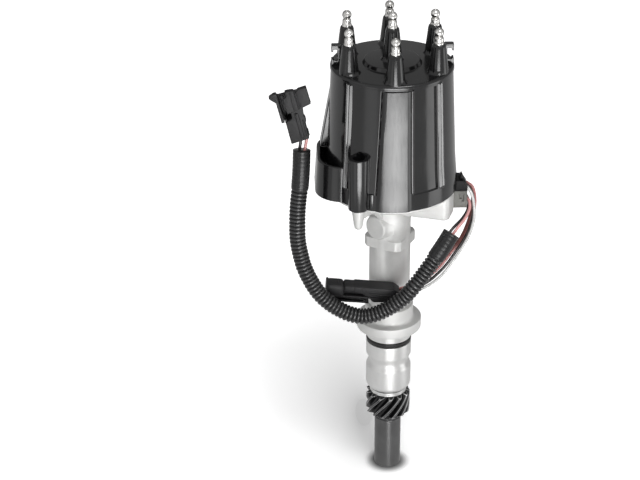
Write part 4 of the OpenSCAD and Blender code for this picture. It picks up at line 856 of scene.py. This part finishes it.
side_top = cap_h - deck_edge
side_h = np.concatenate([np.linspace(start, stop, count) for start, stop, count in (
    (0.0003, 0.012, 9), (0.0112, 0.0146, 12), (0.015, 0.038, 14), (0.0385, 0.0446, 20),
    (0.0452, cap_h - 0.006, 20), (cap_h - 0.0058, side_top, 24))])
side_h = np.unique(np.round(side_h, 6))[:, None]
side_h = sill + side_h * (side_top - sill) / side_top
side_r = barrel_surface(cap_angles, side_h)
corner = np.linspace(0, np.pi / 2, 8)[1:]
edge_r = side_r[-1:] - deck_edge + deck_edge * np.cos(corner)[:, None]
lid = softened([(0.0411, 0), (disc_r + 0.0012, 0), (disc_r + 0.0001, disc_h), (0, disc_h)], [0.0006, 0.0005])
deck_under = cap_h - deck_t
inner_r = [0, 0.030, barrel_r[3] - cap_wall - 0.002] + [r - cap_wall for r in barrel_r[::-1]]
inner_h = [deck_under, deck_under, deck_under, deck_under - 0.002, barrel_h[2], barrel_h[1]]
rim_r = barrel_surface(cap_angles, sill) - np.array([[0.0003], [0.0]])
rim_h = sill + np.array([[0.0], [0.0002]])
edge_h = side_top + deck_edge * np.sin(corner)
shell_r = stacked(cap_angles, inner_r, rim_r, side_r[1:], edge_r, lid[1:, 0])
shell_h = stacked(cap_angles, inner_h, sill, rim_h, side_h[1:], edge_h, cap_h + lid[1:, 1])
shell_points = polar(shell_r, cap_angles, rim_z + shell_h)
cap_shell = close_up(put_grid("cap_shell", shell_points), 2e-6)


def glossy_black():
    """Black glass-filled plastic from a polished mould: near-mirror gloss, with a very faint ripple, pale
    drawn streaks running down the sides and dust that dulls it in patches."""
    material, tree, place = new_material("glossy_black")
    stretch = put_node(tree, "Mapping", {"Vector": place, "Scale": (1, 1, 0.12)})
    dust, streak = noise(tree, place, 60, 7), noise(tree, stretch, 620, 6)
    mixed = put_node(tree, "Math", {0: dust, 1: streak}, operation="MULTIPLY")
    ripple = noise(tree, place, 210, 3)
    return principled(material, {"IOR": 1.56,
        "Base Color": shades(tree, mixed, (0.0045, 0.0045, 0.0048), (0.0115, 0.0115, 0.012)),
        "Roughness": remap(tree, mixed, 0.10, 0.24, 0.12, 0.42),
        "Normal": relief(tree, ripple, 0.12, 0.0001)})


cap_plastic = glossy_black()


def cap_part(made, *replaced, degrees=35):
    """Finishes a piece of the cap's moulding."""
    finished(crisp(made, degrees), cap_plastic, "distributor", "cap_plastic", *replaced)


cap_part(cap_shell, "distributor_cap", degrees=40)


# The towers: one for each plug and a taller one for the coil, moulded with the deck. Each tapers
# up from a flared foot to a flat top with a rounded shoulder.
tower_r, tower_count, tower_sides = 0.036, 6, 72
tower_h, coil_tower_h = 0.0206, 0.026
tower_top_r, tower_base_r, tower_flare, tower_root = 0.0044, 0.0070, 0.0016, -0.003
flare_edge_r = 0.0418


def tower(name, at, foot_z, height):
    """A lathe profile whose foot flares out as the square of how near it is to the deck. Where the flare
    would pass the cap's edge it is drawn back in."""
    profile = softened([(0, height), (tower_top_r - 0.0001, height), (tower_top_r + 0.0005, height - 0.0016),
        (tower_base_r, 0.0008), (tower_base_r, tower_root)], [0.0008, 0.0012, 0.0012], 5)[::-1]
    foot_h = np.linspace(-0.0004, 0.003, 9)
    foot = np.stack([np.interp(foot_h, profile[:, 1], profile[:, 0]), foot_h], axis=1)
    profile = np.vstack([[tower_base_r, tower_root], foot, profile[profile[:, 1] > 0.0032]])
    r, h = profile[:, :1], profile[:, 1:]
    flare = tower_flare * np.clip(1 - h / 0.0026, 0, 1)**2 * (h > -0.001)
    angle = full_turn(tower_sides)
    far = np.hypot(at[0] + r * np.cos(angle), at[1] + r * np.sin(angle))
    r = r + flare * np.clip((flare_edge_r - far) / 0.0015, 0, 1)
    cap_part(close_up(put_grid(name, polar(r, angle, foot_z + h, at))))


tower_turns = [front_angle + k * 2 * math.pi / tower_count for k in range(tower_count)]
for number, turn in enumerate(tower_turns):
    tower("plug_tower_" + str(number), at_turn(turn, tower_r), deck_z, tower_h)
tower("coil_tower", (0, 0, 0), deck_z + disc_h, coil_tower_h - disc_h)


# The screw bosses: a post against the barrel on either side, bored out wide for the screw's head.
# The key beside the front boss, a round pin, sets the cap's place on the housing.
boss_r, boss_bore_r, boss_seat_h = 0.0073, 0.0026, 0.020
boss_profile = softened([(boss_bore_r, 0.0003), (boss_r, 0.0003), (boss_r, boss_h), (counterbore_r, boss_h),
    (counterbore_r, boss_seat_h), (boss_bore_r + 0.0001, boss_seat_h), (boss_bore_r, 0.0003)],
    [0.0003, 0.0007, 0.0005, 0.0003, 0.0002], 5)
for number, turn in enumerate(screw_turns):
    cap_part(spun("screw_boss_" + str(number), boss_profile, 96, at_turn(turn, screw_circle, rim_z)))

key_turn = front_angle - math.radians(20)
key_r, key_h, key_reach = 0.0026, 0.013, 0.0484
key_profile = softened([(0, 0.0006), (key_r, 0.0006), (key_r, key_h), (0, key_h)], 0.0005)
cap_part(spun("cap_key", key_profile, 40, at_turn(key_turn, key_reach - key_r, rim_z)))


# The vent shroud: a thin round-ended wall that stands off the left of the barrel and lets air in
# under the sloping hood above it.
shroud_reach, shroud_end_r, shroud_half = 0.055, 0.0205, 0.0105
shroud_h, shroud_draft, shroud_wall = 0.0265, 0.0018, 0.0024
bend = np.linspace(0, np.pi / 2, 22)
bend_x = -shroud_reach + shroud_end_r
shroud_normal = np.concatenate([[np.pi / 2] * 2, np.pi / 2 + bend, np.pi + bend, [1.5 * np.pi] * 2])
shroud_x = np.concatenate([[-0.018, -0.026], np.full(44, bend_x), [-0.026, -0.018]])
shroud_y = np.concatenate([np.full(24, shroud_half), np.full(24, -shroud_half)])
wall_profile = softened([(0, 0.0004), (shroud_draft, shroud_h), (shroud_draft + shroud_wall, shroud_h),
    (shroud_wall, 0.0004), (0, 0.0004)], [0.0009, 0.0009, 0.0003], 5)[:-1]
shroud_points = polar(shroud_end_r - wall_profile[None, :, 0], shroud_normal[:, None],
    wall_profile[None, :, 1], (shroud_x[:, None], shroud_y[:, None], rim_z))
cap_part(close_up(put_grid("vent_shroud", shroud_points, capped=True)))

hood_y, hood_len = -0.001, 0.013
hood_outline = [(-0.0425, 0.030), (-0.0509, 0.030), (-0.0459, 0.0588), (-0.0426, 0.0775), (-0.0395, 0.0775)]
upright = laid((0, 0, rim_z), (1, 0, 0), (0, 0, 1), (0, 1, 0))
cap_part(slab("vent_hood", hood_outline, hood_y, hood_y + hood_len, upright, 0.0007, 5))


# The lead clips: a post on either side of the deck, with a notch that a plug lead is pushed into
# under a turned-down lip.
clip_from, clip_to = -0.0052, 0
clip_outline = np.array([(36.3, -0.5), (42.9, -0.5), (42.9, 4.8), (41.5, 4.8), (41.5, 3.8), (38.2, 3.8),
    (38.2, 11.8), (41.5, 11.8), (41.5, 9.9), (42.9, 9.9), (42.9, 15), (36.3, 15)]) * mm
for side, way in (("right", 1), ("left", -1)):
    on_deck = laid((0, 0, deck_z), (way, 0, 0), (0, 0, 1), (0, 1, 0))
    cap_part(slab("lead_clip_" + side, clip_outline, clip_from, clip_to, on_deck, 0.0004, 4))


# The male terminals: nickel-plated brass turned on an automatic lathe, with a straight foot, a
# neck and a ball that the plug lead's clip springs over.
ball_r, ball_up = 0.0033, 0.0083
ball_turn = np.linspace(-0.98, np.pi / 2 - 0.32, 14)
terminal_foot = softened([(0.0035, 0.0002), (0.0035, 0.0012), (0.0031, 0.0018), (0.0031, 0.0044),
    (0.0025, 0.0052), (0.00185, 0.0055)], [0.0003, 0.0003, 0.0004, 0.0003])
terminal_ball = np.stack([ball_r * np.cos(ball_turn), ball_up + ball_r * np.sin(ball_turn)], axis=1)
terminal_dimple = [(0.0007, ball_up + ball_r - 0.0003), (0.0004, ball_up + ball_r - 0.0007),
    (0, ball_up + ball_r - 0.0008)]
terminal_profile = np.vstack([[(0, 0), (0.0035, 0)], terminal_foot, terminal_ball, terminal_dimple])
nickel = metal("nickel_plate", (0.90, 0.89, 0.87), (0.60, 0.59, 0.57), 0.10, 0.24, 1300, 0.00004,
    inputs={"Specular Tint": (0.2, 0.2, 0.2, 1)})


def terminal(name, at, node):
    """A terminal standing at a point."""
    finished(crisp(spun(name, terminal_profile, 48, at)), nickel, "distributor", "terminal_metal", node)


for number, turn in enumerate(tower_turns):
    terminal("plug_terminal_" + str(number), at_turn(turn, tower_r, deck_z + tower_h), "plug_terminals")
terminal("coil_terminal_head", (0, 0, deck_z + coil_tower_h), "coil_terminal")


# The cap screws: zinc-plated steel with a hexagon socket, seen down the bosses' counterbores.
def dress(material, *node_names):
    """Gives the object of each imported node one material."""
    for node_name in node_names:
        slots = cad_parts[node_name].data.materials
        slots.clear()
        slots.append(material)


dress(metal("zinc_plate", (0.50, 0.50, 0.49), (0.34, 0.34, 0.33), 0.28, 0.45, 1700, 0.00002), "cap_screws",
    "pickup_screws")


# The ignition module in the housing's pocket, on its aluminium plate, and the two plugs in its dock:
# a matt grey one for the coil wires and, on top of it, a black one for the timing wires.
def softened_copy(node, name, width, material, slot):
    """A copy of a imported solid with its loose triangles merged, its flat faces made whole again, and its
    edges rounded by a bevel of a given width."""
    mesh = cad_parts[node].data.copy()
    mesh.name = name
    whole = bmesh.new()
    whole.from_mesh(mesh)
    bmesh.ops.remove_doubles(whole, verts=whole.verts, dist=2e-6)
    bmesh.ops.dissolve_limit(whole, angle_limit=math.radians(1.5), verts=whole.verts, edges=whole.edges)
    whole.to_mesh(mesh)
    whole.free()
    mesh.materials.clear()
    made = bpy.data.objects.new(name, mesh)
    scene.collection.objects.link(made)
    mesh.shade_smooth()
    rounding = made.modifiers.new("rounding", "BEVEL")
    rounding.width = width
    rounding.segments = 3
    rounding.limit_method = "ANGLE"
    rounding.angle_limit = math.radians(30)
    rounding.harden_normals = True
    finished(made, material, "distributor", slot, node)


module_black = soft_plastic("module_black", (0.022, 0.022, 0.023), (0.014, 0.014, 0.015), 0.4, 0.55, 1400,
    0.00003)
plug_grey = soft_plastic("plug_grey", (0.135, 0.135, 0.122), (0.095, 0.095, 0.086), 0.45, 0.6, 1300, 0.00003)
plug_black = soft_plastic("plug_black", (0.006, 0.006, 0.0063), (0.003, 0.003, 0.0033), 0.34, 0.5, 1300,
    0.00003, {"Specular IOR Level": 0.12})
softened_copy("ignition_module", "module_case", 0.0003, module_black, "module_plastic")
dress(metal("plate_aluminium", 0.62, 0.50, 0.3, 0.45, 1600, 0.00002), "module_plate")
softened_copy("coil_plug", "coil_plug_shell", 0.00035, plug_grey, "grey_plastic")
softened_copy("timing_plug", "timing_plug_shell", 0.0003, plug_black, "plug_plastic")


# The coil connector on the end of the sleeve: glass-filled nylon. A plain shell with a raised rib takes
# the wires, a hood and a side block stand on it, and a thumb latch on a long root leans on its left.
connector_nylon = soft_plastic("connector_nylon", (0.020, 0.0195, 0.0205), (0.012, 0.012, 0.0125), 0.36, 0.52,
    1500, 0.00004, {"Specular IOR Level": 0.2})
contact_tin = metal("contact_tin", (0.62, 0.61, 0.58), (0.50, 0.49, 0.46), 0.25, 0.4, 1800, 0.00001)
seal_silicone = soft_plastic("seal_silicone", (0.06, 0.065, 0.06), (0.04, 0.045, 0.04), 0.5, 0.65, 900,
    0.00002)


def leaning(at, degrees):
    """Lays out a slab whose columns are along x, up and across y, at a point in mm, leaning about y."""
    lean = math.radians(degrees)
    return laid(np.array(at) * mm, (math.cos(lean), 0, -math.sin(lean)), (math.sin(lean), 0, math.cos(lean)),
        (0, 1, 0))


def nylon_blocks(name, place, body, node, blocks):
    """Several slabs of nylon in one piece. Each block is its front and back depth, its rounding and its
    outline, in mm."""
    whole = bmesh.new()
    for front, back, soft, *outline in blocks:
        block = slab("block", np.array(outline) * mm, front * mm, back * mm, place, soft * mm, 4)
        whole.from_mesh(block.data)
        bpy.data.meshes.remove(block.data)
    made = put_mesh(name, np.zeros((0, 3)), [])
    whole.to_mesh(made.data)
    whole.free()
    return finished(crisp(made, 40), connector_nylon, body, "connector_plastic", node)


coil_end = leaning((-64.7, -25, 163.5), -14)
coil_shell = nylon_blocks("coil_connector_shell", coil_end, "distributor", "coil_connector", [
    (-5.6, -1, 0.5, (-6.7, 1.8), (6.5, 2.8), (6.9, 15.5), (7.7, 16), (7.7, 19.5), (7, 20.2), (7.6, 25),
        (7.6, 30), (-1.4, 30), (-1.4, 20.6), (-6.5, 18.8)),
    (-1.4, 6, 0.5, (-5.6, 3), (4.8, 3), (5.8, 20), (5.8, 32), (-1.4, 32), (-1.4, 20.6), (-5.6, 18.8)),
    (-6.3, -4, 0.6, (1, 4), (3.8, 4), (3.8, 24), (1, 24)),
    (-6, -4, 0.4, (4.9, 5), (6.3, 5), (6.6, 18), (5.1, 18)),
    (-7, -3, 0.4, (-3.6, 25.2), (1.8, 26), (1.8, 42), (-1.4, 42), (-1.4, 38), (-3.6, 37)),
    (-7.3, -3, 0.5, (1.4, 26), (5.2, 26.4), (4.9, 41.6), (1.4, 42)),
    (-7.2, -3, 0.4, (6.2, 27), (8, 27.4), (14.2, 28.8), (13.9, 41.9), (7.8, 41.4), (6.2, 39.8)),
    (-5.8, -2, 0.3, (4.8, 26), (6.8, 27), (6.8, 39), (4.8, 39.6)),
    (-3.2, 7, 0.5, (-3.4, 26), (12, 30), (11.8, 36.6), (-3.2, 36.4)),
    (3.4, 5.8, 0.4, (-9.2, 17), (-9.4, 32.6), (-11.4, 35), (-9.4, 36.8), (-1, 37), (-1, 17.4)),
    (-4.6, 5, 0.3, (-6.7, 17.8), (-5.2, 17.8), (-5.2, 20.8), (-6.7, 20.8)),
    (2.5, 5, 0.5, (-6.4, 18), (-3.8, 18.4), (-3.8, 36), (-6.4, 36.2))])
coil_latch = nylon_blocks("coil_latch_lever", coil_end, "coil_latch", "coil_connector_latch", [
    (-5, -1.4, 0.4, (-9.3, 18.6), (-9.4, 34.4), (-13.2, 38.4), (-13.2, 40), (-9.4, 41.6), (-7.4, 41.4),
        (-7, 21), (-7.1, 18.6)),
    (-1.8, 2.2, 0.4, (-9.1, 20), (-9.2, 34.4), (-11, 36.6), (-8.4, 38.8), (-7.2, 38.8), (-7.1, 20))])
dress(contact_tin, "coil_connector_sockets")
dress(seal_silicone, "coil_connector_seals")


# The flat timing connector behind the sleeve: a rounded mouth with a rim and a nub, a waist with an
# open slot under it, a rear block with a ledge, and a latch of two rails joined at both ends.
timing_end = leaning((-48, -22, 43.7), 4)
timing_shell = nylon_blocks("timing_connector_shell", timing_end, "distributor", "timing_connector", [
    (-6.3, 6.3, 2, (0.3, -3.8), (13.4, -4), (13.4, 5.7), (0.3, 6.1)),
    (-6.4, 6.4, 1.1, (0, -3.9), (2.2, -3.9), (2.2, 6.2), (0, 6.2)),
    (-2.2, 2.2, 0.2, (6.8, 5.2), (8.8, 6.6), (9.6, 5.2)),
    (-5.9, 5.9, 1.2, (13, 0.2), (23, 0.2), (23, 5), (13, 5.4)),
    (-1.6, 4.6, 0.4, (12, -3.4), (34, -3.8), (34, 0.6), (12, 0.6)),
    (-5.6, 5, 0.3, (11, -4.1), (34, -4.6), (34, -3.2), (11, -2.7)),
    (-6.4, 6.4, 0.7, (20.6, 5.3), (20.6, 0.9), (26, 0), (30, -2.4), (46.8, -3.2), (48.8, -1.6), (49.4, 4.3)),
    (-6.9, -5.6, 0.3, (31, -0.3), (47.4, -1.1), (47.4, -0.2), (31, 0.6)),
    (-6.8, -5.6, 0.3, (26.2, 2), (28.8, 2), (28.8, 4), (26.2, 4)),
    (-5.8, 5.8, 0.8, (31.4, -2.6), (34.6, -7.3), (46.6, -7), (48.8, -3.2), (48.8, -1.4)),
    (-6, 6, 0.4, (48.2, -2.5), (54.2, -2.2), (54.2, 1.2), (49.6, 4.3), (48.2, 4.3))])
timing_latch = nylon_blocks("timing_latch_lever", timing_end, "timing_latch", "timing_connector_latch", [
    (-4.4, 4.4, 0.3, (6, -5), (9, -4.8), (26, -5.3), (29.6, -6.4), (29.2, -7.2), (25.4, -6.1), (8.6, -5.6),
        (6.6, -5.8)),
    (-4.4, 4.4, 0.4, (7, -7.2), (9, -7), (30, -7.6), (32.4, -8.8), (14, -8.6), (8.4, -7.9)),
    (-4.3, 4.3, 0.3, (6, -5.1), (8.4, -5), (9, -7.5), (7, -7.3)),
    (-4.3, 4.3, 0.3, (28.4, -6.2), (29.8, -6.6), (32.2, -8.7), (28, -8.5))])
dress(contact_tin, "timing_connector_pins")


# Inside the cap and the housing, where only an open joint or a cut shows them: the rotor with its
# brass blade, the pickup under it, the shaft in its bronze bushings, and the button on its spring.
for make, name, node_names, *finish in (
        (soft_plastic, "rotor_black", ["rotor", "pickup_bobbin"], (0.020, 0.020, 0.022),
            (0.013, 0.013, 0.014), 0.3, 0.45, 1300, 0.00003),
        (metal, "blade_brass", ["rotor_blade", "rotor_contact"], (0.78, 0.60, 0.30), (0.62, 0.46, 0.22),
            0.2, 0.36, 1500, 0.00002),
        (metal, "core_steel", ["timer_core", "pole_piece"], (0.46, 0.46, 0.47), (0.36, 0.36, 0.37),
            0.28, 0.44, 1600, 0.00003),
        (metal, "magnet_grey", ["pickup_magnet"], (0.16, 0.16, 0.165), (0.11, 0.11, 0.115), 0.45, 0.6, 1200,
            0.00004),
        (metal, "winding_copper", ["pickup_winding"], (0.70, 0.34, 0.18), (0.54, 0.24, 0.12), 0.25, 0.4,
            2600, 0.00005),
        (metal, "bearing_bronze", ["upper_bushing", "lower_bushing"], (0.66, 0.45, 0.24),
            (0.52, 0.34, 0.17), 0.35, 0.5, 1500, 0.00003, True),
        (metal, "ground_steel", ["main_shaft"], 0.58, 0.48, 0.16, 0.3, 2600, 0.00001, True),
        (metal, "spring_steel", ["button_spring"], (0.55, 0.55, 0.56), (0.42, 0.42, 0.43), 0.2, 0.35, 1800,
            0.00001),
        (soft_plastic, "carbon_grey", ["carbon_button"], (0.035, 0.035, 0.036), (0.022, 0.022, 0.023), 0.38,
            0.55, 1500, 0.00003)):
    dress(make(name, *finish), *node_names)
dress(seal_rubber, "shaft_seal")
